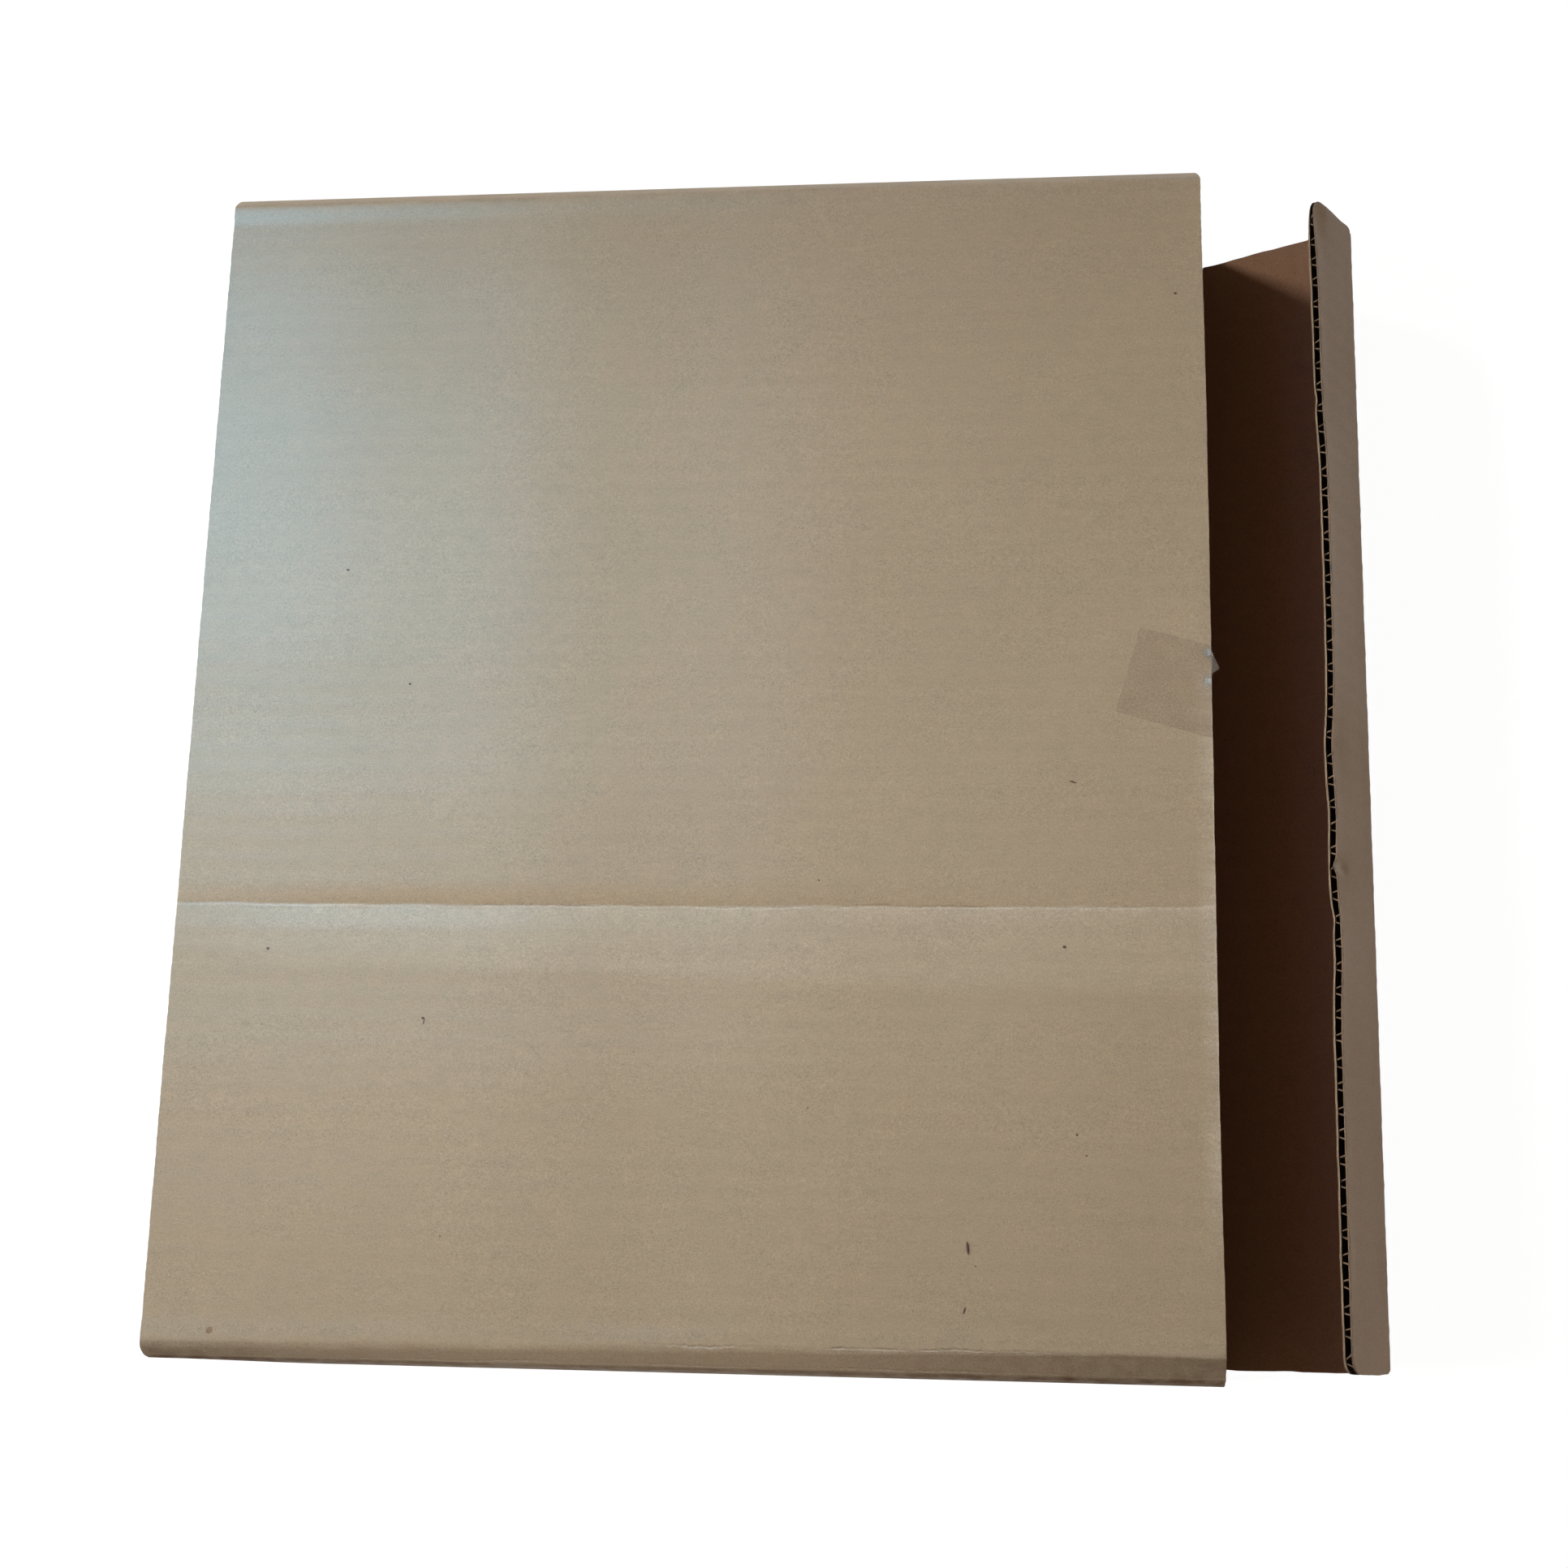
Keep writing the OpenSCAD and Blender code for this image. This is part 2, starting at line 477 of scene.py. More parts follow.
@dataclass(frozen=True)
class Finishes:
    """Every material of the carton, made once."""

    face: Material
    tab_face_shaded: Material
    inside: Material
    medium: Material
    stain: Material
    dirt: Material
    film: Material

    @classmethod
    def build(cls) -> "Finishes":
        """Makes all materials.

        Returns:
            The set of them.
        """
        matt = {"roughness": 0.8, "specular": 0.04}
        papers = {
            "face": KraftPaper("kraft_face", "#a49279", ridges=0.011),
            # A warmer, darker copy of the face paper for the tab: painted shade, as the tab faces away
            # from the light.
            "tab_face_shaded": KraftPaper("kraft_tab_face", "#a0886c", ridges=0.011),
            # Darker and redder than the face: painted shade inside the carton and on the lid's inner
            # face.
            "inside": KraftPaper("kraft_inside", "#a2785a", "#85715d", ridges=0.01, **matt),
            # Near black: painted shade in the flutes' cells, paler at the cut ends.
            "medium": KraftPaper("kraft_medium", "#2a1c13", "#75614e", deep="#1d130d", **matt),
            "stain": KraftPaper("kraft_stain", "#8b7157", deep="#6c523c"),
            "dirt": KraftPaper("kraft_dirt", "#64493a", deep="#4a3426"),
            "film": ClearFilm("clear_film"),
        }
        return cls(**{label: paper.build() for label, paper in papers.items()})


# Meshes


def put(name: str, data: bpy.types.ID) -> Thing:
    """Makes an object of a mesh, lamp or camera and links it to the scene.

    Args:
        name: The object's name.
        data: What it shows.

    Returns:
        The object.
    """
    made = bpy.data.objects.new(name, data)
    bpy.context.scene.collection.objects.link(made)
    return made


def smooth(mesh: bpy.types.Mesh, angle: float) -> None:
    """Shades a mesh smooth, with edges above an angle in degrees kept sharp."""
    mesh.shade_smooth()
    mesh.set_sharp_from_angle(angle=math.radians(angle))


def mark(mesh: bpy.types.Mesh, name: str, values: Grid, kind: str = "FLOAT", key: str = "value") -> None:
    """Keeps a number or vector at each point of a mesh."""
    made = mesh.attributes.new(name, kind, "POINT")
    made.data.foreach_set(key, values.astype(np.float32).ravel())


def patch(grid: Grid) -> Grid:
    """Lists the faces of a grid of point numbers."""
    corners = (grid[:-1, :-1], grid[1:, :-1], grid[1:, 1:], grid[:-1, 1:])
    return np.stack(corners, -1).reshape(-1, 4)


def dress(name: str, points: Grid, faces: Grid, material: Material) -> Thing:
    """Makes a smooth-shaded object at the origin, with its sharp edges marked.

    Args:
        name: The piece's name.
        points: Places in millimetres, one row each.
        faces: Corner numbers, one row for each face.
        material: The finish.

    Returns:
        The object.
    """
    mesh = bpy.data.meshes.new(name)
    mesh.from_pydata((points * MM).tolist(), [], faces.tolist())
    mesh.materials.append(material)
    smooth(mesh, SHEET_EDGE)
    return put(name, mesh)


def settle(piece: Thing, body: Body, slot: Slot, *stands_for: str) -> None:
    """Fastens a piece to its body.

    Args:
        piece: The piece.
        body: The body that it rides on.
        slot: The record's slot for its finish; not used.
        *stands_for: CAD nodes that it takes the place of.
    """
    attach(piece, body.value)
    if stands_for:
        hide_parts(*stands_for)
    LOG.info("%s: %d faces on %s", piece.name, len(piece.data.polygons), body.value)


@dataclass
class Leaf:
    """A sheet of paper as two grids of points in millimetres, with rows along the flutes.

    A mark is one grid of numbers for both sides, or two for the face and the back.
    """

    face: Grid
    back: Grid
    across: Grid
    along: Grid
    marks: dict[str, Grid] = field(default_factory=dict)

    def build(self, name: str, material: Material) -> Thing:
        """Closes the two grids into a thin solid.

        Args:
            name: The piece's name.
            material: The finish.

        Returns:
            The piece, with the board's map and its marks.
        """
        rows, columns = self.face.shape[:2]
        top = np.arange(rows * columns).reshape(rows, columns)
        low = top + rows * columns
        border = np.concatenate([top[:-1, 0], top[-1, :-1], top[:0:-1, -1], top[0, :0:-1]])
        after = np.roll(border, -1)
        rim = np.stack([after, border, border + rows * columns, after + rows * columns], 1)
        faces = np.concatenate([patch(top), patch(low)[:, ::-1], rim])
        points = np.concatenate([self.face.reshape(-1, 3), self.back.reshape(-1, 3)])
        if self._volume(points, faces) < 0:
            faces = faces[:, ::-1]
        made = dress(name, points, faces, material)
        self._map(made.data)
        return made

    @staticmethod
    def _volume(points: Grid, faces: Grid) -> float:
        """Gives the volume inside the faces, which is below 0 where they point inwards."""
        a, b, c, d = (points[faces[:, k]] for k in range(4))
        return float(np.sum(a * (np.cross(b, c) + np.cross(c, d))))

    def _map(self, mesh: bpy.types.Mesh) -> None:
        """Writes the board's map and the marks to the mesh.

        Args:
            mesh: The closed sheet's mesh.
        """
        flat = np.stack([self.across.ravel(), self.along.ravel()], 1) * MM
        flat = np.concatenate([flat, flat])
        corners = np.zeros(len(mesh.loops), np.int32)
        mesh.loops.foreach_get("vertex_index", corners)
        layer = mesh.uv_layers.new(name="board")
        layer.data.foreach_set("uv", flat[corners].astype(np.float32).ravel())
        for name, values in self.marks.items():
            mark(mesh, name, np.broadcast_to(values, (2, *self.across.shape)))


class GeometryTree:
    """A Geometry Nodes tree with named inputs, and the way it is put on an object."""

    def __init__(self, name: str, inputs: dict[str, str]) -> None:
        """Starts a tree.

        Args:
            name: The tree's name.
            inputs: Kinds of socket by the names of the inputs, besides geometry and finish.
        """
        self.tree = bpy.data.node_groups.new(name, "GeometryNodeTree")
        face = self.tree.interface
        face.new_socket("Geometry", in_out="OUTPUT", socket_type="NodeSocketGeometry")
        face.new_socket("Geometry", in_out="INPUT", socket_type="NodeSocketGeometry")
        self.keys = {}
        for label, kind in {**inputs, "Finish": "Material"}.items():
            socket = face.new_socket(label, in_out="INPUT", socket_type=f"NodeSocket{kind}")
            self.keys[label] = socket.identifier
        self.graph = Graph(self.tree)
        self.source = self.graph.node("NodeGroupInput")

    def given(self, label: str) -> Value:
        """Reads a named input."""
        return Value(self.graph, self.source.outputs[label])

    def close(self, last: bpy.types.Node) -> None:
        """Ends the tree in Realize Instances and Set Material.

        Args:
            last: The node that gives the finished geometry.
        """
        real = self.graph.node("GeometryNodeRealizeInstances", {0: last.outputs[0]})
        inputs = {"Geometry": real.outputs[0], "Material": self.given("Finish")}
        painted = self.graph.node("GeometryNodeSetMaterial", inputs)
        self.graph.node("NodeGroupOutput", {0: painted.outputs[0]})

    def bake(self, piece: Thing, values: dict[str, object], thickness: float = 0.0) -> Thing:
        """Runs the tree on a piece and keeps the result as a plain mesh.

        Args:
            piece: The object that the tree works on.
            values: The tree's inputs by name.
            thickness: Wall in millimetres that is given to a sheet afterwards.

        Returns:
            The same object with its new mesh and no modifier.
        """
        modifier = piece.modifiers.new("rule", "NODES")
        modifier.node_group = self.tree
        for label, given in values.items():
            modifier[self.keys[label]] = given
        if thickness:
            wall = piece.modifiers.new("wall", "SOLIDIFY")
            wall.thickness = thickness * MM
            wall.offset = 0.0
        ready = piece.evaluated_get(bpy.context.evaluated_depsgraph_get())
        mesh = bpy.data.meshes.new_from_object(ready)
        piece.modifiers.clear()
        piece.data = mesh
        smooth(mesh, WAVE_EDGE)
        return piece


class FluteWave(GeometryTree):
    """Bends a flat sheet into the medium's waves, wherever its room, out and across say."""

    def __init__(self) -> None:
        """Builds the tree."""
        inputs = dict.fromkeys(("Pitch", "Lean", "Plateau", "Bias", "Unevenness"), "Float")
        super().__init__("flute_wave", {**inputs, "Seed": "Int"})
        graph = self.graph
        across = self._read("across", "FLOAT")
        line = graph.node("ShaderNodeCombineXYZ", {"X": across, "Y": self.given("Seed")})
        drift = graph.noise(line.outputs[0], 130.0, 1.0) - 0.5
        moved = across + drift * self.given("Unevenness")
        turn = moved * (2 * math.pi) / self.given("Pitch")
        leant = turn + turn.cosine() * self.given("Lean")
        wave = (leant.sine() * self.given("Plateau") + self.given("Bias")).least(1.0).most(-1.0)
        offset = graph.scaled(self._read("out", "FLOAT_VECTOR"), wave * self._read("room", "FLOAT"))
        bent = {"Geometry": self.given("Geometry"), "Offset": offset}
        self.close(graph.node("GeometryNodeSetPosition", bent))

    def _read(self, name: str, kind: str) -> Value:
        """Reads a mark of the sheet."""
        made = self.graph.node("GeometryNodeInputNamedAttribute", {"Name": name}, data_type=kind)
        return Value(self.graph, made.outputs[0])


# Board


@dataclass(frozen=True)
class Board:
    """Single-wall board with B flutes, in millimetres.

    Lean, plateau and bias shape the medium's wave: how far its webs slant, how flat its
    crests are, and how much wider the cells are against the inner liner.
    """

    thickness: float = 3.0
    liner: float = 0.6
    medium: float = 0.4
    pitch: float = 6.5
    lean: float = 0.35
    plateau: float = 2.6
    bias: float = 0.6
    unevenness: float = 2.6


@dataclass(frozen=True)
class CartonSizes:
    """The carton's sizes in millimetres and degrees, as in the part's source."""

    length: float = 292.4
    width: float = 346.4
    height: float = 55.0
    bevel: float = 3.5
    worn_width: Triple = (3.2, 5.6, 7.0)
    worn_drop: float = 5.2
    crushed: float = 1.6
    crushed_bevel: float = 5.5
    pressed_line_y: float = -46.6
    pressed_depth: float = 1.0
    lid_length: float = 335.5
    lid_shift: float = -1.9
    lid_width: float = 45.6
    tab_width: float = 24.0
    tab_corner: float = 4.6
    lid_angle: float = 29.4
    tab_bend: float = 90.0

    @property
    def half_length(self) -> float:
        """Half the length along the flutes."""
        return self.length / 2

    @property
    def half_width(self) -> float:
        """Half the width from front to back."""
        return self.width / 2


@dataclass(frozen=True)
class Kit:
    """What every panel is made from."""

    board: Board
    sizes: CartonSizes
    finishes: Finishes
    wave: FluteWave


class FlutedPanel:
    """A panel of fluted board: an outer liner, an inner liner and the medium between them.

    A place on it is given by three numbers: across the flutes, along them, and the depth
    below its outer face, all in millimetres. Steps are the distances between its rows.
    """

    name = "panel"
    body = Body.CARTON
    stands_for = "box_body"
    seed = 1
    columns = 10
    wave_columns = 6
    rows_in_a_wave = 18
    face_step = 1.3
    back_step = 1.3
    rim = (0.15, 0.5)
    print_depth = 0.035

    def __init__(self, kit: Kit) -> None:
        """Keeps what the panel is made from.

        Args:
            kit: The board, sizes, finishes and tree.
        """
        self.kit = kit
        self.board = kit.board
        self.sizes = kit.sizes

    def place(self, across: Grid, along: Grid, depth: Grid) -> Grid:
        """Gives points in the row frame, in millimetres.

        Args:
            across: Places across the flutes, one row each.
            along: Places along them, rows by columns.
            depth: Depths below the outer face.

        Returns:
            Points, rows by columns by three.
        """
        raise NotImplementedError

    def rows(self, step: float) -> Grid:
        """Lists where the panel is cut into rows, about a step apart."""
        raise NotImplementedError

    def reach(self, across: Grid) -> tuple[Grid, Grid]:
        """Gives where the panel starts and ends along each row."""
        raise NotImplementedError

    def pressed(self, across: Grid, along: Grid) -> Grid:
        """Gives how far the outer face is pushed in, which is nowhere on a plain panel."""
        return np.zeros(np.broadcast(across, along).shape)

    # How far the inner face is pushed out, where the outer one is browned and has painted shade,
    # and where it is worn pale and has painted highlights
    lifted = soiled_and_shaded = rubbed_and_highlighted = pressed

    def frayed(self, across: Grid, along: Grid) -> tuple[Grid, Grid]:
        """Gives the strength of a torn line, and the distance from it in millimetres."""
        none = np.zeros(np.broadcast(across, along).shape)
        return none, none + 6.0

    def _print(self, across: Grid) -> Grid:
        """Gives how deep the flutes' crests print through the outer face."""
        return self.print_depth * np.cos(2 * math.pi * across / self.board.pitch)

    def _true_depth(self, across: Grid, along: Grid, depth: float) -> Grid:
        """Squeezes a depth between the two faces where they are pushed in.

        Args:
            across: Places across the flutes, one row each.
            along: Places along them.
            depth: Depth in plain board.

        Returns:
            The depth there.
        """
        share = depth / self.board.thickness
        press = self.pressed(across, along)
        return press * (1 - share) + depth - self.lifted(across, along) * share

    def _grid(
        self, step: float, columns: int, recess: float, rough: float, seed: int
    ) -> tuple[Grid, Grid]:
        """Lays out rows and columns over the panel.

        Args:
            step: Distance between rows.
            columns: Points along each row.
            recess: How far the ends stay behind the panel's own.
            rough: Height of the ends' unevenness.
            seed: Seed of that unevenness.

        Returns:
            Two grids: across and along.
        """
        across = self.rows(step)[:, None]
        start, end = self.reach(across)
        first = Ripple(seed, rough, (3.1, 7.7, 23.0))(across)
        last = Ripple(seed + 1, rough, (2.7, 8.9, 31.0))(across)
        rim, edge = (size / float(np.max(end - start)) for size in self.rim)
        inner = np.linspace(edge, 1 - edge, columns)
        share = np.concatenate([[0.0, rim], inner, [1 - rim, 1.0]])[None, :]
        along = (start + recess + first) * (1 - share) + (end - recess - last) * share
        return np.broadcast_to(across, along.shape), along

    @staticmethod
    def _ends(along: Grid) -> Grid:
        """Is 1 at both ends of each row and 0 elsewhere.

        Args:
            along: Places along the flutes, rows by columns.

        Returns:
            A grid of the same shape.
        """
        ends = np.zeros_like(along)
        ends[:, (0, -1)] = 1.0
        return ends

    def liner(self, suffix: str, depths: tuple[float, float], step: float, material: Material) -> Thing:
        """Builds one liner.

        Args:
            suffix: Ending of the piece's name.
            depths: Depth of its outer and of its inner side.
            step: Distance between rows.
            material: The finish.

        Returns:
            The piece.
        """
        seed = self.seed * 10 + int(depths[0] * 3)
        across, along = self._grid(step, self.columns, 0.0, 0.1, seed)
        sides = [self.place(across, along, self._true_depth(across, along, depth)) for depth in depths]
        fray, off = self.frayed(across, along)
        towards_flutes = np.array([depths[0] > 0, depths[0] == 0])[:, None, None]
        marks = {
            "rub": self.rubbed_and_highlighted(across, along),
            "soil": self.soiled_and_shaded(across, along),
            "fray": fray,
            "off": off,
            "cut": self._ends(along),
            # Painted shade on the side towards the flutes, away from the cut ends.
            "hollow": towards_flutes * (1 - self._ends(along)),
        }
        return Leaf(*sides, across, along, marks).build(f"{self.name}_{suffix}", material)

    def flutes(self) -> Thing:
        """Builds the medium's waves, which fill the room between the liners.

        Returns:
            The piece.
        """
        board = self.board
        step = board.pitch / self.rows_in_a_wave
        across, along = self._grid(step, self.wave_columns, 0.5, 0.12, self.seed * 10 + 7)
        high = self._true_depth(across, along, board.liner)
        low = self._true_depth(across, along, board.thickness - board.liner)
        middle = self.place(across, along, (high + low) / 2)
        gap = self.place(across, along, high) - self.place(across, along, low)
        slope = np.gradient(middle, axis=0)
        slope /= np.linalg.norm(slope, axis=2, keepdims=True)
        clear = np.linalg.norm(np.cross(slope, gap), axis=2)
        sunk = 0.9 * board.medium * np.minimum(clear / (board.thickness - 2 * board.liner), 1.0)
        room = np.maximum((clear - board.medium) / 2 + sunk, 0.02) * MM
        faces = patch(np.arange(across.size).reshape(across.shape))
        # The medium's near-black paper is painted shade in the cells.
        finish = self.kit.finishes.medium
        piece = dress(f"{self.name}_medium", middle.reshape(-1, 3), faces, finish)
        for name, values in (("across", across * MM), ("room", room), ("cut", self._ends(along))):
            mark(piece.data, name, values)
        out = gap / np.linalg.norm(gap, axis=2, keepdims=True)
        mark(piece.data, "out", out, "FLOAT_VECTOR", "vector")
        values = {
            "Pitch": board.pitch * MM,
            "Lean": board.lean,
            "Plateau": board.plateau,
            "Bias": board.bias,
            "Unevenness": board.unevenness * MM,
            "Seed": self.seed,
            "Finish": finish,
        }
        return self.kit.wave.bake(piece, values, board.medium)

    def build(self) -> None:
        """Builds the panel's three pieces and fastens them to their body."""
        board, finishes = self.board, self.kit.finishes
        inner = (board.thickness - board.liner, board.thickness)
        pieces = (
            self.liner("outer_liner", (0.0, board.liner), self.face_step, finishes.face),
            # The inner liner takes the darker inside paper: painted shade.
            self.liner("inner_liner", inner, self.back_step, finishes.inside),
            self.flutes(),
        )
        for piece in pieces:
            settle(piece, self.body, Slot.BOARD, self.stands_for)


class Tube(FlutedPanel):
    """Back wall, top, front wall and bottom in one strip of board, folded four times.

    Across runs round the section. Its stations are where flats and bends start, in turn.
    """

    name = "tube"
    columns = 60
    wave_columns = 5
    face_step = 0.85
    back_step = 2.4
    fillets = (0.0, 0.9, 0.9, 1.4, 2.9, 0.9, 0.9, 0.9, 0.0)
    shoulder = (1.9, 1.3, 0.4)
    print_depth = 0.022
    bulge = 0.55
    ramp = 16.0
    edge_light_y = (-125.0, 18.0)

    def __init__(self, kit: Kit) -> None:
        """Works out the strip's stations round the section."""
        super().__init__(kit)
        self.hinge_x = frame["joints"][0]["pos_m"][0] / MM
        start, end = self._tangents(0.0, np.zeros(1))
        self.flats = np.linalg.norm(end[0, 1:] - start[0, :-1], axis=1)
        lengths = np.zeros(15)
        lengths[0::2] = self.flats
        lengths[1::2] = 2.0 * np.array(self.fillets[1:8]) * 0.96
        self.stations = np.concatenate([[0.0], np.cumsum(lengths)])
        self.top_start, self.top_end = self.stations[4:6]
        self.top_back_y = float(start[0, 2, 0])

    def _corners(self, share: float, x: Grid) -> Grid:
        """Gives the nine corners of the section at a share of the board's depth.

        Args:
            share: 0 on the outer face and 1 on the inner one.
            x: Where the section is cut.

        Returns:
            Corners in Y and Z for each x, from the back wall's foot round to it again.
        """
        s, t = self.sizes, self.board.thickness
        worn = np.interp(x, self._thirds(), s.worn_width) + Ripple(3, 0.25, (19.0, 47.0, 90.0))(x)
        one = np.ones_like(x)
        outer = self._ring(s.half_width * one, 0.0, s.height, s.bevel, worn, s.worn_drop)
        loss = s.bevel - (2 - math.sqrt(2)) * t
        flat = s.crushed_bevel - 2 * t + math.sqrt(2) * s.crushed
        inner = self._ring((s.half_width - t) * one, t, s.height - t, loss, flat * one, flat)
        return outer * (1 - share) + inner * share

    def _thirds(self) -> Triple:
        """Gives the places along X for which the front fold's wear is stated."""
        return -self.sizes.half_length * 0.95, 0.0, self.sizes.half_length * 0.85

    @staticmethod
    def _ring(w: Grid, low: float, high: float, b: float, worn: Grid, drop: float) -> Grid:
        """Lists the corners of one outline, with a worn front fold and a gap at the glued seam.

        Args:
            w: Half the width, for each place along X.
            low: Height of the bottom.
            high: Height of the top.
            b: Bevel of the folds.
            worn: Width of the front fold's bevel, for each place.
            drop: Its height.

        Returns:
            Corners in Y and Z for each place.
        """
        ys = [w, w, w - b, -w + worn, -w, -w, -w + b, w - b, w - 0.55]
        zs = [low + b + 0.3, high - b, high, high, high - drop, low + b, low, low, low + b - 0.55]
        one = np.ones_like(w)
        return np.stack([np.stack([size * one for size in sizes], 1) for sizes in (ys, zs)], 2)

    def _tangents(self, share: float, x: Grid) -> tuple[Grid, Grid]:
        """Gives where the flat stretches start and end beside each corner.

        Args:
            share: 0 on the outer face and 1 on the inner one.
            x: Where the section is cut.

        Returns:
            The starts after the corners, and the ends before them.
        """
        corners = self._corners(share, x)
        step = np.diff(corners, axis=1)
        step /= np.linalg.norm(step, axis=2, keepdims=True)
        cut = np.tile(np.array(self.fillets)[None, :, None], (len(x), 1, 1))
        cut[:, 3, 0] = np.interp(x, self._thirds(), self.shoulder)
        cut *= 1 - 0.75 * share
        start, end = corners.copy(), corners.copy()
        start[:, :-1] += cut[:, :-1] * step
        end[:, 1:] -= cut[:, 1:] * step
        return start, end

    def _outline(self, across: Grid, x: Grid, share: float) -> Grid:
        """Gives Y and Z for rows and columns on the outer or the inner face.

        Args:
            across: Stations round the section, one for each row.
            x: Places along the flutes, rows by columns.
            share: 0 on the outer face and 1 on the inner one.

        Returns:
            Points, rows by columns by two.
        """
        knots = np.linspace(-self.sizes.half_length - 4, self.hinge_x + 1, 61)
        start, end = self._tangents(share, knots)
        corner = self._corners(share, knots)
        calm_start, calm_end = self._tangents(share, np.zeros(1))
        part = np.clip(np.searchsorted(self.stations, across, side="right") - 1, 0, 14)
        local = (across - self.stations[part]) / (self.stations[part + 1] - self.stations[part])
        result = np.zeros((len(across), len(knots), 2))
        for row, (piece, t) in enumerate(zip(part, local)):
            k = piece // 2
            if piece % 2 == 0:
                reach = self.ramp / max(self.flats[k], self.ramp)
                calm = calm_start[0, k] * (1 - t) + calm_end[0, k + 1] * t
                shift = (start[:, k] - calm_start[0, k]) * ease(reach, 0.0, t)
                shift += (end[:, k + 1] - calm_end[0, k + 1]) * ease(1 - reach, 1.0, t)
                result[row] = calm + shift
            else:
                first, peak, last = end[:, k + 1], corner[:, k + 1], start[:, k + 1]
                result[row] = first * (1 - t) ** 2 + peak * (2 * t * (1 - t)) + last * t * t
        spot = (x - knots[0]) / (knots[1] - knots[0])
        low = np.clip(np.floor(spot).astype(int), 0, len(knots) - 2)
        part_way = (spot - low)[..., None]
        rows = np.arange(len(across))[:, None]
        return result[rows, low] * (1 - part_way) + result[rows, low + 1] * part_way

    def place(self, across: Grid, along: Grid, depth: Grid) -> Grid:
        """Gives points in the row frame, in millimetres."""
        stations = np.asarray(across)[:, 0]
        share = (depth / self.board.thickness)[..., None]
        outer, inner = (self._outline(stations, along, side) for side in (0.0, 1.0))
        return np.concatenate([along[..., None], outer * (1 - share) + inner * share], 2)

    def rows(self, step: float) -> Grid:
        """Lists rows: fine over the top panel, coarse below, and a few round each fold.

        Args:
            step: Distance between rows.

        Returns:
            Stations, in order.
        """
        steps = [step, step / 2, step, step / 2, step, step / 2, step * 4, step / 2]
        lines = []
        for k, gap in enumerate(steps):
            low, high = self.stations[2 * k], self.stations[2 * k + 1]
            flat = np.linspace(low, high, max(3, math.ceil((high - low) / gap) + 1))
            if k == 2 and step < 1:
                line = float(self.station_of(self.sizes.pressed_line_y))
                flat = flat[np.abs(flat - line) > 3.1]
                flat = np.sort(np.concatenate([flat, np.linspace(line - 3, line + 3, 25)]))
            lines.append(flat)
            if k < 7:
                lines.append(np.linspace(high, self.stations[2 * k + 2], 6)[1:-1])
        return np.concatenate(lines)

    def y_of(self, across: Grid) -> Grid:
        """Turns a station on the top panel into Y."""
        return self.top_back_y - (across - self.top_start)

    def station_of(self, y: Grid) -> Grid:
        """Turns Y on the top panel into a station."""
        return self.top_start + self.top_back_y - y

    def _between(self, number: int) -> float:
        """Gives the station halfway between a numbered one and the next."""
        return (self.stations[number] + self.stations[number + 1]) / 2

    def reach(self, across: Grid) -> tuple[Grid, Grid]:
        """Gives the strip's ends, with the top panel's corners rounded and the lid's run-on.

        Args:
            across: Stations, one row each.

        Returns:
            Where each row starts and ends along the flutes.
        """
        s = self.sizes
        back, front = self._between(1), self._between(7)
        behind = self._corner_loss(2.1, (across - back) * 0.33, (back - across) * 0.7)
        before, left = (
            self._corner_loss(radius, (front - across) * 0.8, (across - front) * 0.15)
            for radius in (0.6, 0.8)
        )
        y = self.y_of(across)
        bowed = 0.5 * ease(-100, -168, y) - 0.6 * ease(90, 170, y)
        start = -s.half_length + behind * 0.5 + left
        end = s.half_length - behind - before + bowed
        bottom_y = across - self._between(12)
        under_lid = (np.abs(bottom_y - s.lid_shift) <= s.lid_length / 2) & (across > self.stations[11])
        start = np.where(under_lid, -s.half_length + self.board.thickness, start)
        return start, np.where(under_lid, self.hinge_x, end)

    @staticmethod
    def _corner_loss(radius: float, inward: Grid, down: Grid) -> Grid:
        """Gives what a rounded corner takes off the strip's end.

        Args:
            radius: The corner's radius as it looks from above.
            inward: Distance from the corner over the top, as it looks from above.
            down: Distance from the corner down the wall.

        Returns:
            The loss for each row.
        """
        return rounded(radius, radius - np.maximum(inward, down))

    def _on_top(self, across: Grid) -> Grid:
        """Is 1 on the top panel and fades to 0 at its folds."""
        inside = ease(self.top_start, self.top_start + 6, across)
        return inside * ease(self.top_end, self.top_end - 6, across)

    def pressed(self, across: Grid, along: Grid) -> Grid:
        """Gives the pressed line, the flutes' print and the panel's slow unevenness.

        Args:
            across: Places across the flutes, one row each.
            along: Places along them.

        Returns:
            How far the outer face is pushed in.
        """
        gap = self._line_gap(across, along)
        behind = np.exp(-np.clip(gap, 0, None) / 2.4)
        before = np.exp(-np.clip(-gap, 0, None) / 5.0)
        line = self.sizes.pressed_depth * np.where(gap > 0, behind, before)
        lip = -0.12 * hump(gap, -0.7, 0.6) * (1 + Ripple(6, 0.7, (19.0, 31.0))(along))
        fade = 0.4 + 0.6 * ease(146, 60, np.abs(along))
        print_through = self._print(across)
        slow = Ripple(8, 0.2, (61.0, 97.0))(along) + Ripple(9, 0.2, (43.0, 71.0, 140.0))(across)
        top = self._on_top(across)
        down = np.clip(across - self.stations[8], 0, None) / 6.5
        bulge = -self.bulge * down * np.exp(1 - down) * (across < self.stations[10])
        bulge = bulge * (0.1 + 0.9 * ease(-144, -100, along))
        return ((line + lip) * fade + slow + 0.2) * top + print_through * (0.5 + 0.5 * top) + bulge

    def _line_gap(self, across: Grid, along: Grid) -> Grid:
        """Gives how far behind the pressed line a place lies."""
        sway = Ripple(5, 0.3, (17.0, 29.0, 63.0))(along)
        return self.y_of(across) - self.sizes.pressed_line_y + sway

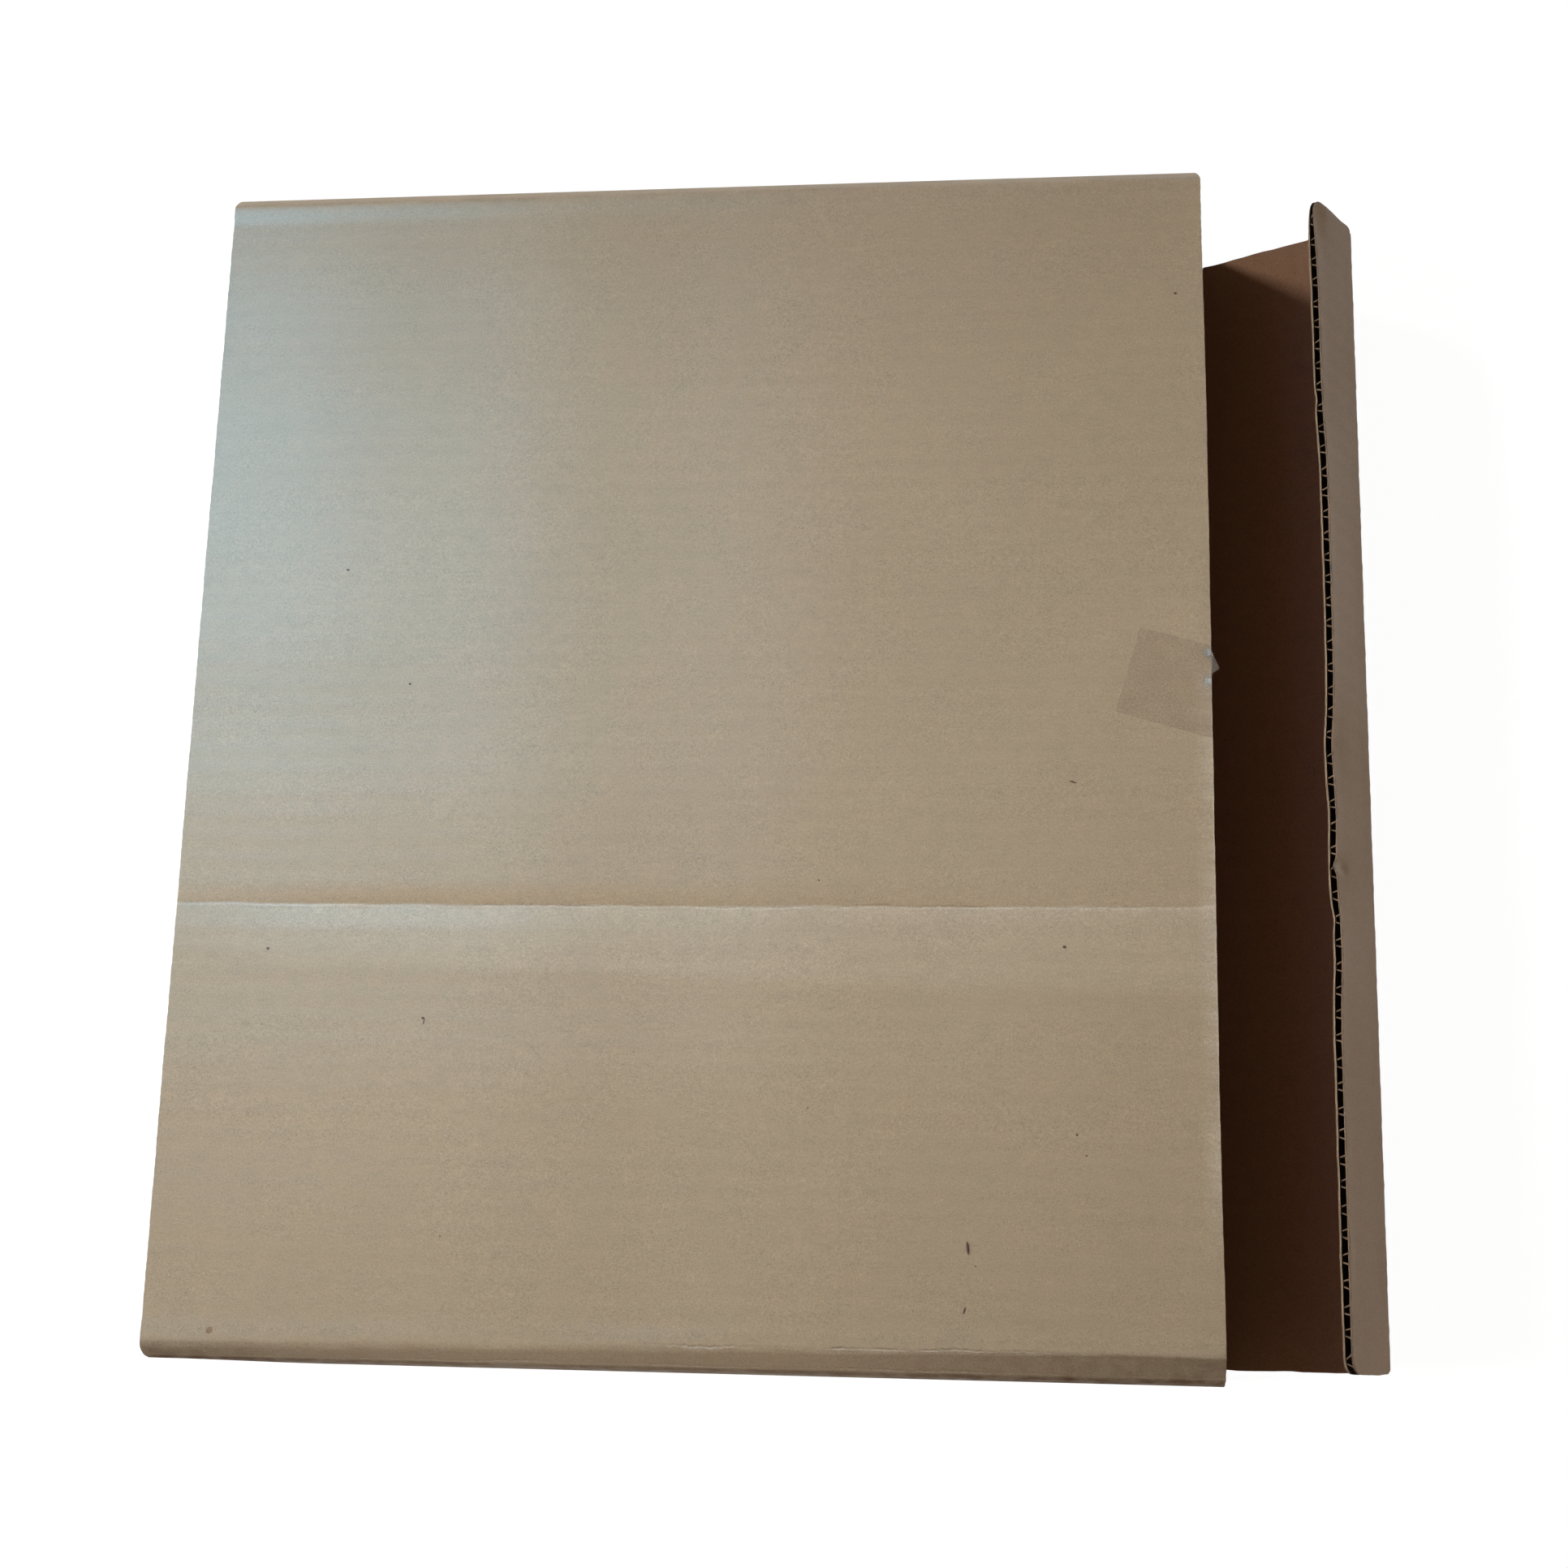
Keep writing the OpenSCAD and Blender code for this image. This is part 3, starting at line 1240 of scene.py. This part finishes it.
    def frayed(self, across: Grid, along: Grid) -> tuple[Grid, Grid]:
        """Gives the torn lines: on the pressed line, where the pale line is a painted highlight on the
        crease's lip, and on the front fold's two creases.

        Args:
            across: Stations round the section.
            along: Places along the flutes.

        Returns:
            Their strength, and the distance from the nearest one, which is above 0 behind it.
        """
        pressed = ease(-130, -112, along) * (0.35 + 0.65 * ease(-90, -50, along))
        pressed = pressed * ease(150, 120, along)
        upper = 0.95 * ease(-15, 15, along) * (1 - 0.6 * ease(95, 125, along))
        lower = 0.4 * ease(-105, -80, along) * (1 - 0.7 * ease(90, 120, along))
        lines = (
            ((self._line_gap(across, along) + 0.8) * np.ones_like(along), pressed),
            (self.stations[5] + 0.5 - across + 0 * along, upper),
            (self.stations[7] + 1.0 - across + 0 * along, lower),
        )
        fray, off = np.zeros_like(along), np.full_like(along, 6.0)
        for distance, strength in lines:
            near = np.abs(distance) < np.minimum(np.abs(off), 5.0)
            off = np.where(near, distance, off)
            fray = np.where(near, strength * ease(4.0, 2.5, np.abs(distance)), fray)
        return fray, off

    def soiled_and_shaded(self, across: Grid, along: Grid) -> Grid:
        """Gives the browned wear on the front fold, strongest at both ends, and painted shade, darkest
        on the front wall below the lower crease.

        Args:
            across: Places across the flutes, one row each.
            along: Places along them.

        Returns:
            How brown and shaded it is, from 0 to 1.
        """
        strip = ease(self.stations[5] - 0.3, self.stations[5] + 0.9, across)
        strip = strip * ease(self.stations[8] + 32, self.stations[8] + 4, across)
        # Painted shade on the front wall below the lower crease.
        under = ease(self.stations[7] + 1.2, self.stations[7] + 2.2, across)
        places = (-146, -128, -108, -40, 40, 90, 146)
        along_strip = np.interp(along, places, (0.6, 0.6, 0.28, 0.1, 0.2, 0.4, 0.6))
        return np.clip(strip * (along_strip + 0.5 * under), 0, 1)

    def rubbed_and_highlighted(self, across: Grid, along: Grid) -> Grid:
        """Gives the painted highlight of the pale zone before the pressed line, the wear along folds,
        and a pale band along the top panel's right edge.

        Args:
            across: Places across the flutes, one row each.
            along: Places along them.

        Returns:
            How pale it is, from 0 to 1.
        """
        y = self.y_of(across)
        gap = self._line_gap(across, along)
        border = np.interp(along, (-90, 40, 140), (-63.5, -69.0, -70.0)) - self.sizes.pressed_line_y
        # Painted highlight: the zone before the pressed line, brightest just before the line.
        zone = ease(0.1, -0.5, gap) * ease(border - 2.5, border + 2.5, gap)
        zone = zone * (0.2 + 0.34 * np.exp(np.minimum(gap, 0) / 2.2))
        zone = zone * ease(-150, -105, along) * self._on_top(across)
        folds = np.zeros_like(zone)
        for fold, strength in ((1, 0.2), (3, 0.2), (5, 0.25), (9, 0.15), (11, 0.15), (13, 0.15)):
            folds += strength * hump(across, self._between(fold), 0.9)
        folds = folds * (0.6 + Ripple(11, 0.6, (7.0, 17.0, 41.0))(along))
        low, high = self.edge_light_y
        edge = ease(self.sizes.half_length - 0.7, self.sizes.half_length - 0.2, along)
        edge = edge * ease(low - 20, low + 20, y) * ease(high + 3, high, y) * self._on_top(across)
        return np.clip(zone + folds + edge * 0.9, 0, 1)


class Swung(FlutedPanel):
    """A panel that leans at an angle, starting at a fold along Y."""

    columns = 14
    wave_columns = 8
    rows_in_a_wave = 28
    width = CartonSizes.lid_width
    fold_gap = 0.25
    fold_corner = 1.7

    def __init__(self, kit: Kit, fold: tuple[float, float], angle: float) -> None:
        """Places the panel.

        Args:
            kit: What it is made from.
            fold: X and Z of the fold line, on the inner faces.
            angle: Angle above the table, in degrees.
        """
        super().__init__(kit)
        self.fold = fold
        turn = math.radians(angle)
        self.out = (math.cos(turn), math.sin(turn))
        self.normal = (math.sin(turn), -math.cos(turn))

    def rows(self, step: float) -> Grid:
        """Lists rows over the panel's length, closer together at both ends.

        Args:
            step: Distance between rows.

        Returns:
            Places across the flutes, in order.
        """
        half = self.sizes.lid_length / 2
        middle = np.linspace(-half + 6, half - 6, math.ceil(2 * half / step))
        ends = 6 * (1 - np.cos(np.linspace(0, math.pi / 2, 9)[:-1]))
        return np.concatenate([-half + ends, middle, (half - ends)[::-1]])

    def _corner(self, across: Grid, radius: float) -> Grid:
        """Gives what a rounded corner takes off the panel beside its ends."""
        return rounded(radius, np.abs(across) - (self.sizes.lid_length / 2 - radius))

    def reach(self, across: Grid) -> tuple[Grid, Grid]:
        """Gives the panel's start at its fold line and its end at the tab's."""
        start = np.full_like(across, self.fold_gap)
        return start, self.width - self._corner(across, self.fold_corner)

    def place(self, across: Grid, along: Grid, depth: Grid) -> Grid:
        """Gives points in the row frame, in millimetres."""
        lift = self.board.thickness - depth
        half = self.sizes.lid_length / 2
        wobble = Ripple(self.seed + 30, 0.22, (9.0, 21.0, 37.0))(along)
        y = across + self.sizes.lid_shift + wobble * ease(half - 5, half, np.abs(across))
        x, z = (self.fold[i] + along * self.out[i] + lift * self.normal[i] for i in (0, 1))
        return np.stack(np.broadcast_arrays(x, y, z), 2)

    def pressed(self, across: Grid, along: Grid) -> Grid:
        """Gives the flutes' print and a slow unevenness that dies out at the folds."""
        inside = ease(0, 6, along) * ease(self.width, self.width - 5, along)
        slow = Ripple(self.seed + 40, 0.12, (31.0, 57.0, 120.0))(across)
        return (self._print(across) + slow + 0.12) * inside


class Lid(Swung):
    """The end lid, which rises from the bottom panel's edge."""

    name = "lid"
    body = Body.LID
    stands_for = "end_lid"
    seed = 2


class Tab(Swung):
    """The tuck tab, folded up from the lid, with its free edge knocked in places.

    A bend has its middle in Y, spread, sharpness and height, and a dent or squeeze has its
    middle, spread and depth.
    """

    name = "tab"
    body = Body.TAB
    stands_for = "tuck_tab"
    seed = 4
    columns = 26
    face_step = 0.8
    back_step = 0.8
    width = CartonSizes.tab_width
    rest_bend = -0.35
    bends = ((52.0, 44.0, 6, 1.0), (-20.0, 8.0, 2, 0.35), (-58.0, 14.0, 2, 0.8), (158.0, 14.0, 2, -0.5))
    dents = ((-34.2, 1.7, 1.1), (163.0, 8.0, 0.8), (0.0, 6.0, 0.35))
    squeezes = ((166.0, 10.0, 1.1), (103.0, 2.5, 0.6), (-49.0, 3.0, 0.55), (-1.0, 6.0, -0.15))

    def reach(self, across: Grid) -> tuple[Grid, Grid]:
        """Gives the tab's start and its free edge, rounded at both ends."""
        free = self.width - self._corner(across, self.sizes.tab_corner)
        return self._corner(across, self.fold_corner), free

    def place(self, across: Grid, along: Grid, depth: Grid) -> Grid:
        """Gives points in the row frame, in millimetres, with the tab's free edge bent.

        Args:
            across: Places across the flutes, one row each.
            along: Places along them.
            depth: Depths below the outer face.

        Returns:
            Points, rows by columns by three.
        """
        points = super().place(across, along, depth)
        y = across + self.sizes.lid_shift
        up = np.clip(along / self.width, 0, 1)
        bend = np.full_like(y, self.rest_bend)
        for middle, spread, power, height in self.bends:
            bend += height * np.exp(-(np.abs((y - middle) / spread) ** power))
        bend = bend * up**1.5
        points[..., 0] += bend * self.normal[0]
        points[..., 1] += 0.6 * ease(150, 166, y) * up
        points[..., 2] += bend * self.normal[1]
        return points

    def _edge_marks(self, across: Grid, along: Grid, marks: tuple[Triple, ...]) -> Grid:
        """Adds up dents or squeezes at the free edge.

        Args:
            across: Places across the flutes, one row each.
            along: Places along them.
            marks: Each one's middle in Y, spread and depth.

        Returns:
            The depths.
        """
        total = np.zeros(np.broadcast(across, along).shape)
        for middle, spread, height in marks:
            total += height * hump(across + self.sizes.lid_shift, middle, spread)
        return total * ease(self.width - 8, self.width - 0.5, along)

    def pressed(self, across: Grid, along: Grid) -> Grid:
        """Gives dents of the outer face at the free edge."""
        return super().pressed(across, along) + self._edge_marks(across, along, self.dents)

    def lifted(self, across: Grid, along: Grid) -> Grid:
        """Gives how far knocks have pushed the inner face in at the free edge."""
        thin = 0.15 + Ripple(33, 0.12, (14.0, 37.0, 80.0))(across)
        return self._edge_marks(across, along, self.squeezes) + thin * ease(0, self.width, along)

    def rubbed_and_highlighted(self, across: Grid, along: Grid) -> Grid:
        """Gives a painted highlight beside the free edge's dent, and a little wear at the edge."""
        # Painted highlight beside the dent, where the dented board faces the light.
        beside = (across + self.sizes.lid_shift + 34.4) / 1.5
        dent = np.exp(-(beside**2) - ((along - self.width + 2.4) / 1.6) ** 2)
        edge = ease(self.width - 1.0, self.width - 0.2, along)
        return 1.4 * dent + edge * 0.1 * (1 + Ripple(31, 1.0, (9.0, 23.0, 43.0))(across))


class ShutEnd(FlutedPanel):
    """The left end's lid, shut flush with the panels, with its tab glued under the top."""

    name = "shut_end"
    seed = 6
    columns = 26
    wave_columns = 26
    face_step = 2.2
    back_step = 2.2

    def __init__(self, kit: Kit) -> None:
        """Works out the lengths of the bends and flats along the panel."""
        super().__init__(kit)
        self.bend = self.board.thickness * math.pi / 2
        self.wall = self.sizes.height - 3 * self.board.thickness

    def rows(self, step: float) -> Grid:
        """Lists rows over the panel's length."""
        half = self.sizes.lid_length / 2
        return np.linspace(-half, half, math.ceil(2 * half / step))

    def reach(self, across: Grid) -> tuple[Grid, Grid]:
        """Gives the panel's start at the bottom and its end, the glued tab's free edge."""
        total = 2 * self.bend + self.wall + self.sizes.tab_width
        return np.zeros_like(across), np.full_like(across, total)

    def place(self, across: Grid, along: Grid, depth: Grid) -> Grid:
        """Gives points in the row frame, in millimetres."""
        t = self.board.thickness
        first = np.clip(along / self.bend, 0, 1)
        second = np.clip((along - self.bend - self.wall) / self.bend, 0, 1)
        up = np.clip(along - self.bend, 0, self.wall)
        over = np.clip(along - 2 * self.bend - self.wall, 0, None)
        angle = math.pi * (1.5 - 0.5 * first - 0.5 * second)
        radius = np.maximum(t - depth, 0.03)
        x = -self.sizes.half_length + t + radius * np.cos(angle) + over
        z = t + up + radius * np.sin(angle)
        return np.stack(np.broadcast_arrays(x, across + self.sizes.lid_shift, z), 2)


class GlueFlap(FlutedPanel):
    """The maker's flap, glued to the inside of the back wall."""

    name = "glue_flap"
    seed = 8
    columns = 8
    height = 30.0
    inset = 4.0
    slant = 9.0

    def rows(self, step: float) -> Grid:
        """Lists rows up the flap."""
        return np.linspace(0.3, self.height, math.ceil(self.height / step))

    def reach(self, across: Grid) -> tuple[Grid, Grid]:
        """Gives the flap's slanted ends."""
        end = self.sizes.half_length - self.inset - self.slant * across / self.height
        return -end, end

    def place(self, across: Grid, along: Grid, depth: Grid) -> Grid:
        """Gives points in the row frame, in millimetres."""
        t = self.board.thickness
        y = self.sizes.half_width - t - 0.03 - depth
        return np.stack(np.broadcast_arrays(along, y, t + across), 2)


@dataclass(frozen=True)
class Fold:
    """The creased board at a fold line, between two bodies."""

    name: str
    near: Body
    far: Body
    line: tuple[float, float]
    angles: tuple[float, float]
    kit: Kit
    notch: float = 0.0
    core: float = 0.04

    def _ring(self, radius: Grid | float, across: Grid | float, turn: Grid | float) -> Grid:
        """Gives points round the fold line, at outward directions given in radians.

        Args:
            radius: Distances from the fold line.
            across: Places along it.
            turn: The directions.

        Returns:
            The points.
        """
        x = self.line[0] + radius * np.sin(turn)
        z = self.line[1] - radius * np.cos(turn)
        return np.stack(np.broadcast_arrays(x, across + self.kit.sizes.lid_shift, z), -1)

    def build(self) -> None:
        """Builds the wedge of creased board."""
        thickness, sizes = self.kit.board.thickness, self.kit.sizes
        half = sizes.lid_length / 2
        across = np.linspace(-half, half, 190)[:, None]
        first, last = (math.radians(a) for a in self.angles)
        share = np.linspace(0.0, 1.0, 11)[None, :]
        turn = first + (last - first) * share
        swell = np.sin(math.pi * share)
        crumple = Ripple(21, 0.16, (2.9, 7.3, 19.0))(across) * swell
        sides = [self._ring(radius, across, turn) for radius in (thickness + crumple, self.core)]
        for side in sides:
            inward = 1 - self.notch * share / half
            side[..., 1] = (side[..., 1] - sizes.lid_shift) * inward + sizes.lid_shift
        wide, along = across + 0 * turn, thickness * (turn - first) + 0 * across
        rub = np.clip(0.25 * swell * (1 + Ripple(22, 1.0, (6.0, 15.0))(across)), 0, 1)
        piece = Leaf(*sides, wide, along, {"rub": rub}).build(self.name, self.kit.finishes.face)
        start, end = (self._ring(thickness, 0.0, edge) * MM for edge in (first, last))
        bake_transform(piece)


# Small things


@dataclass(frozen=True)
class TapeRemnant:
    """What is left of a strip of clear film on the top panel, torn off at the panel's edge.

    A torn point has its Y and how far it stands out, and a loose spot its X, Y and spread.
    """

    width: float = 25.5
    length: float = 24.0
    edge_y: float = 13.4
    turn: float = 16.5
    thickness: float = 0.12
    torn: tuple[tuple[float, float], ...] = (
        (17.5, 0.0),
        (18.4, 0.1),
        (20.0, 2.5),
        (25.3, 0.1),
        (26.2, 0.0),
    )
    loose_spots: tuple[Triple, ...] = ((145.3, 24.7, 1.3), (145.6, 16.4, 1.7))

    def build(self, tube: Tube) -> None:
        """Lays the film on the tube's top panel.

        Args:
            tube: The tube that carries it.
        """
        half = tube.sizes.half_length
        tilt = math.radians(self.turn)
        side = np.linspace(-0.5, 0.5, 61)[:, None] * self.width
        share = np.linspace(0.0, 1.0, 41)[None, :]
        side = side + Ripple(51, 0.12, (4.0, 9.0))(side)
        cut = Ripple(52, 0.18, (5.0, 11.0))(side)
        start_x = half - self.length * math.cos(tilt) + side * math.sin(tilt) + cut
        start_y = self.edge_y + self.length * math.sin(tilt) + side * math.cos(tilt)
        end_x = np.full_like(side, half - 0.25)
        for _ in range(4):
            end_y = start_y - (end_x - start_x) * math.tan(tilt)
            end_x = half - 0.25 + np.interp(end_y, *zip(*self.torn))
        x = start_x + (end_x - start_x) * share
        y = start_y - (x - start_x) * math.tan(tilt)
        sunk = tube.pressed(tube.station_of(y), np.clip(x, -half, half - 1))
        loose = np.zeros_like(x)
        for spot_x, spot_y, spread in self.loose_spots:
            loose += np.exp(-(((x - spot_x) ** 2 + (y - spot_y) ** 2) / spread**2))
        loose = np.clip(loose, 0, 1) * ease(half - 4, half - 1.2, x) + 0.3 * ease(half - 0.4, half, x)
        z = tube.sizes.height - sunk + 0.03 + loose * 0.35
        sides = [np.stack([x, y, z + lift], 2) for lift in (self.thickness, 0.0)]
        piece = Leaf(*sides, y, x, {"loose": loose}).build("tape_film", tube.kit.finishes.film)
        settle(piece, Body.CARTON, Slot.FILM, "tape_remnant")


class Scatter(GeometryTree):
    """Puts a bit of paper or dirt on each point of a piece, turned and sized as given."""

    def __init__(self) -> None:
        """Builds the tree."""
        super().__init__("scatter_bits", {"Bit": "Object", "Size": "Float", "Lie": "Float"})
        bit = self.graph.node("GeometryNodeObjectInfo", {"Object": self.given("Bit")})
        turned = self.graph.node("ShaderNodeCombineXYZ", {"Z": self.given("Lie")})
        placed = {
            "Points": self.given("Geometry"),
            "Instance": bit.outputs["Geometry"],
            "Rotation": turned.outputs[0],
            "Scale": self.given("Size"),
        }
        self.close(self.graph.node("GeometryNodeInstanceOnPoints", placed))


class Bits:
    """Loose fibres and specks of dirt, which one tree puts in their places."""

    def __init__(self, tree: Scatter) -> None:
        """Makes the two shapes that are scattered."""
        self.tree = tree
        self.flake = self._flake()
        self.speck = self._speck()

    @staticmethod
    def _hidden(name: str, points: list, faces: list) -> Thing:
        """Makes a shape that is only used through the tree.

        Args:
            name: The shape's name.
            points: Its corners.
            faces: Corner numbers of its faces.

        Returns:
            The object, which isn't in the scene.
        """
        mesh = bpy.data.meshes.new(name)
        mesh.from_pydata(points, [], faces)
        return bpy.data.objects.new(name, mesh)

    def _flake(self) -> Thing:
        """Makes a thin curled sliver, 1 long, which lies along X.

        Returns:
            The shape.
        """
        points = []
        for t in np.linspace(-0.5, 0.5, 5):
            wide = 0.1 * (1 - (2 * t) ** 2) + 0.012
            rise = 0.16 * t * t + 0.03
            points += [(t, -wide, rise), (t, wide, rise + 0.03), (t, 0.0, rise + 0.07)]
        faces = [(0, 1, 2), (14, 13, 12)]
        for i in range(0, 12, 3):
            for a, b in ((i, i + 1), (i + 1, i + 2), (i + 2, i)):
                faces.append((a, a + 3, b + 3, b))
        return self._hidden("flake", points, faces)

    def _speck(self) -> Thing:
        """Makes a low lump, 1.3 long.

        Returns:
            The shape.
        """
        turns = np.linspace(0, 2 * math.pi, 8)[:-1]
        ring = [(0.65 * math.cos(turn), 0.5 * math.sin(turn), 0.0) for turn in turns]
        points = [*ring, (0.02, 0.03, 0.04), (0.0, 0.0, -0.05)]
        faces = [(i, (i + 1) % 7, 7) for i in range(7)] + [((i + 1) % 7, i, 8) for i in range(7)]
        return self._hidden("speck", points, faces)

    def scatter(self, name: str, spot: Grid, values: dict[str, object]) -> None:
        """Puts a bit at a spot.

        Args:
            name: The piece's name.
            spot: One point in millimetres.
            values: The tree's inputs.
        """
        mesh = bpy.data.meshes.new(name)
        mesh.from_pydata((spot * MM).tolist(), [], [])
        settle(self.tree.bake(put(name, mesh), values), Body.CARTON, Slot.BOARD)


@dataclass(frozen=True)
class Wear:
    """Where the carton shows specks, a stain and fibres: X, Y, size and angle."""

    specks: tuple[Triple, ...] = (
        (-102.7, 52.1, 0.8),
        (-82.0, 17.4, 0.7),
        (105.3, -58.3, 0.9),
        (137.9, 133.3, 0.8),
        (-118.4, -60.0, 0.8),
        (-72.3, -79.4, 0.8),
        (37.7, -40.0, 0.5),
        (108.4, -109.1, 0.6),
        (110.9, -114.6, 0.5),
        (36.0, -103.0, 0.4),
        (81.5, -144.0, 0.4),
        (-64.0, -139.0, 0.4),
    )
    stains: tuple[tuple[float, ...], ...] = ((-126.8, -164.0, 1.9, 1.0),)
    fibres: tuple[tuple[float, ...], ...] = (
        (107.8, -12.2, 2.2, -0.3),
        (79.3, -139.3, 3.6, 1.65),
        (78.6, -155.5, 2.0, 1.3),
        (-72.0, -80.4, 1.8, 1.4),
    )

    def build(self, bits: Bits, tube: Tube) -> None:
        """Puts everything on the tube's top panel.

        Args:
            bits: The shapes and their tree.
            tube: The tube that carries them.
        """
        dirt, stain = tube.kit.finishes.dirt, tube.kit.finishes.stain
        specks = [(*speck, 3.1 * index) for index, speck in enumerate(self.specks)]
        kinds = (
            ("speck", specks, bits.speck, dirt),
            ("stain", self.stains, bits.speck, stain),
            ("fibre", self.fibres, bits.flake, dirt),
        )
        for kind, places, shape, finish in kinds:
            for number, (x, y, size, lie) in enumerate(places, 1):
                values = {"Bit": shape, "Size": size * MM, "Lie": lie, "Finish": finish}
                bits.scatter(f"{kind}_{number}", self._on_panel(tube, x, y), values)

    @staticmethod
    def _on_panel(tube: Tube, x: float, y: float) -> Grid:
        """Gives a point on the top panel's face, sunk in a little."""
        along, station = np.array([[x]]), tube.station_of(np.array([[y]]))
        return tube.place(station, along, tube.pressed(station, along) - 0.02).reshape(-1, 3)


# The set


def looking(place: Vector, aim: Vector) -> Matrix:
    """Gives the stance of a camera or lamp at a place, turned towards its aim."""
    turn = (aim - place).to_track_quat("-Z", "Y").to_matrix().to_4x4()
    return Matrix.Translation(place) @ turn


@dataclass(frozen=True)
class PhotoCamera:
    """The camera as it stood for the photograph, in millimetres."""

    place: Triple = (99.67, -163.545, 688.887)
    aim: Triple = (27.33, -12.69, 55.0)
    roll: float = -24.991
    lens: float = 53.668

    def build(self) -> None:
        """Makes the camera and sets it as the scene's."""
        data = bpy.data.cameras.new("photo_camera")
        data.lens = self.lens
        data.sensor_width = 36.0
        data.clip_start = 0.01
        camera = put("photo_camera", data)
        stance = looking(Vector(self.place) * MM, Vector(self.aim) * MM)
        camera.matrix_world = stance @ Matrix.Rotation(math.radians(self.roll), 4, "Z")
        bpy.context.scene.camera = camera


@dataclass(frozen=True)
class Lamp:
    """A soft lamp, placed in metres and aimed at the carton's middle unless an aim is given."""

    name: str
    place: Triple
    size: float
    power: float
    colour: Triple
    aim: Triple = (0.0, 0.0, 0.05)
    spread: float = 180.0
    tall: float = 0.0
    diffuse: bool = True

    def build(self) -> None:
        """Makes the lamp."""
        data = bpy.data.lights.new(self.name, "AREA")
        data.shape = "RECTANGLE"
        data.size = self.size
        data.size_y = self.tall or self.size
        data.energy = self.power
        data.color = self.colour
        data.spread = math.radians(self.spread)
        lamp = put(self.name, data)
        lamp.matrix_world = looking(Vector(self.place), Vector(self.aim))
        lamp.visible_diffuse = self.diffuse


@dataclass(frozen=True)
class Studio:
    """Pale floor, white background and soft light."""

    lamps: tuple[Lamp, ...] = (
        Lamp("window_left", (-1.35, -0.2, 1.15), 0.4, 0.83, (1.0, 1.0, 1.0), (-0.03, -0.03, 0.05), 24.0),
        Lamp("window_behind", (-1.0, 1.026, 0.84), 0.2, 11.5, (0.92, 1.0, 1.08)),
        Lamp("bounce_right", (1.0, -0.4, 0.35), 0.5, 1.2, (1.0, 0.82, 0.66)),
        Lamp("sky_sheen", (-0.57, 0.43, 0.93), 0.12, 42.0, (0.2, 0.7, 1.0), tall=0.5, diffuse=False),
    )
    fill: float = 0.13
    floor_half: float = 6.0
    floor_drop: float = -0.0003

    def build(self) -> None:
        """Makes the lamps, the world and the floor."""
        for lamp in self.lamps:
            lamp.build()
        self._world()
        self._floor()
        bpy.context.scene.view_settings.view_transform = "Standard"

    @staticmethod
    def _seen_as(graph: Graph, plain: Socket, seen: bpy.types.Node, strength: float) -> Socket:
        """Mixes in a second shader for rays that show the background.

        Args:
            graph: The material's or the world's tree.
            plain: The shader that lights the carton.
            seen: The node of the shader that is looked at.
            strength: How far the second one takes over.

        Returns:
            The mixed shader.
        """
        path = graph.node("ShaderNodeLightPath")
        rays = [graph.value(path, f"Is {kind} Ray") for kind in ("Camera", "Glossy", "Transmission")]
        share = (rays[0] + rays[1] + rays[2]).least(1.0) * strength
        return graph.node("ShaderNodeMixShader", {0: share, 1: plain, 2: seen.outputs[0]}).outputs[0]

    def _world(self) -> None:
        """Makes the world: white to look at, and a low, warm light on the carton."""
        world = bpy.data.worlds.new("studio")
        bpy.context.scene.world = world
        graph = Graph.of(world)
        ambient = {"Color": (1.0, 0.87, 0.74, 1.0), "Strength": self.fill}
        low = graph.node("ShaderNodeBackground", ambient).outputs[0]
        white = graph.node("ShaderNodeBackground", {"Color": WHITE, "Strength": 1.0})
        graph.close(self._seen_as(graph, low, white, 1.0), "ShaderNodeOutputWorld")

    def _floor(self) -> None:
        """Makes the floor, pale in its own colour and near white to look at, with shadows."""
        material = bpy.data.materials.new("pale_floor")
        graph = Graph.of(material)
        speck = graph.noise(graph.object_place(), 40.0, 2.0)
        colour = graph.mix(speck, linear("#e4e2df"), linear("#e9e8e6"))
        plain = graph.paint({"Base Color": colour, "Roughness": 0.9, "Specular IOR Level": 0.1})
        glow = graph.node("ShaderNodeEmission", {"Color": WHITE, "Strength": 1.1})
        graph.close(self._seen_as(graph, plain, glow, 0.88))
        mesh = bpy.data.meshes.new("floor")
        half, z = self.floor_half, self.floor_drop
        corners = [(-half, -half, z), (half, -half, z), (half, half, z), (-half, half, z)]
        mesh.from_pydata(corners, [], [(0, 1, 2, 3)])
        mesh.materials.append(material)
        put("floor", mesh)


def main() -> None:
    """Builds the camera, the set and the carton."""
    logging.basicConfig(level=logging.INFO, format="%(name)s: %(message)s")
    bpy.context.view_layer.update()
    PhotoCamera().build()
    Studio().build()
    kit = Kit(Board(), CartonSizes(), Finishes.build(), FluteWave())
    # The tab takes the warmer, darker copy of the face paper, painted shade.
    shaded_tab_kit = replace(kit, finishes=replace(kit.finishes, face=kit.finishes.tab_face_shaded))
    lid_line, tab_line = ((j["pos_m"][0] / MM, j["pos_m"][2] / MM) for j in frame["joints"])
    rise = kit.sizes.lid_angle
    bent = rise + kit.sizes.tab_bend
    tube = Tube(kit)
    swung = (Lid(kit, lid_line, rise), Tab(shaded_tab_kit, tab_line, bent))
    for panel in (tube, ShutEnd(kit), GlueFlap(kit), *swung):
        panel.build()
    Fold("lid_crease", Body.CARTON, Body.LID, lid_line, (0.0, rise), kit).build()
    Fold("tab_crease", Body.LID, Body.TAB, tab_line, (rise, bent), kit, 1.5).build()
    TapeRemnant().build(tube)
    Wear().build(Bits(Scatter()), tube)


if __name__ == "__main__":
    main()
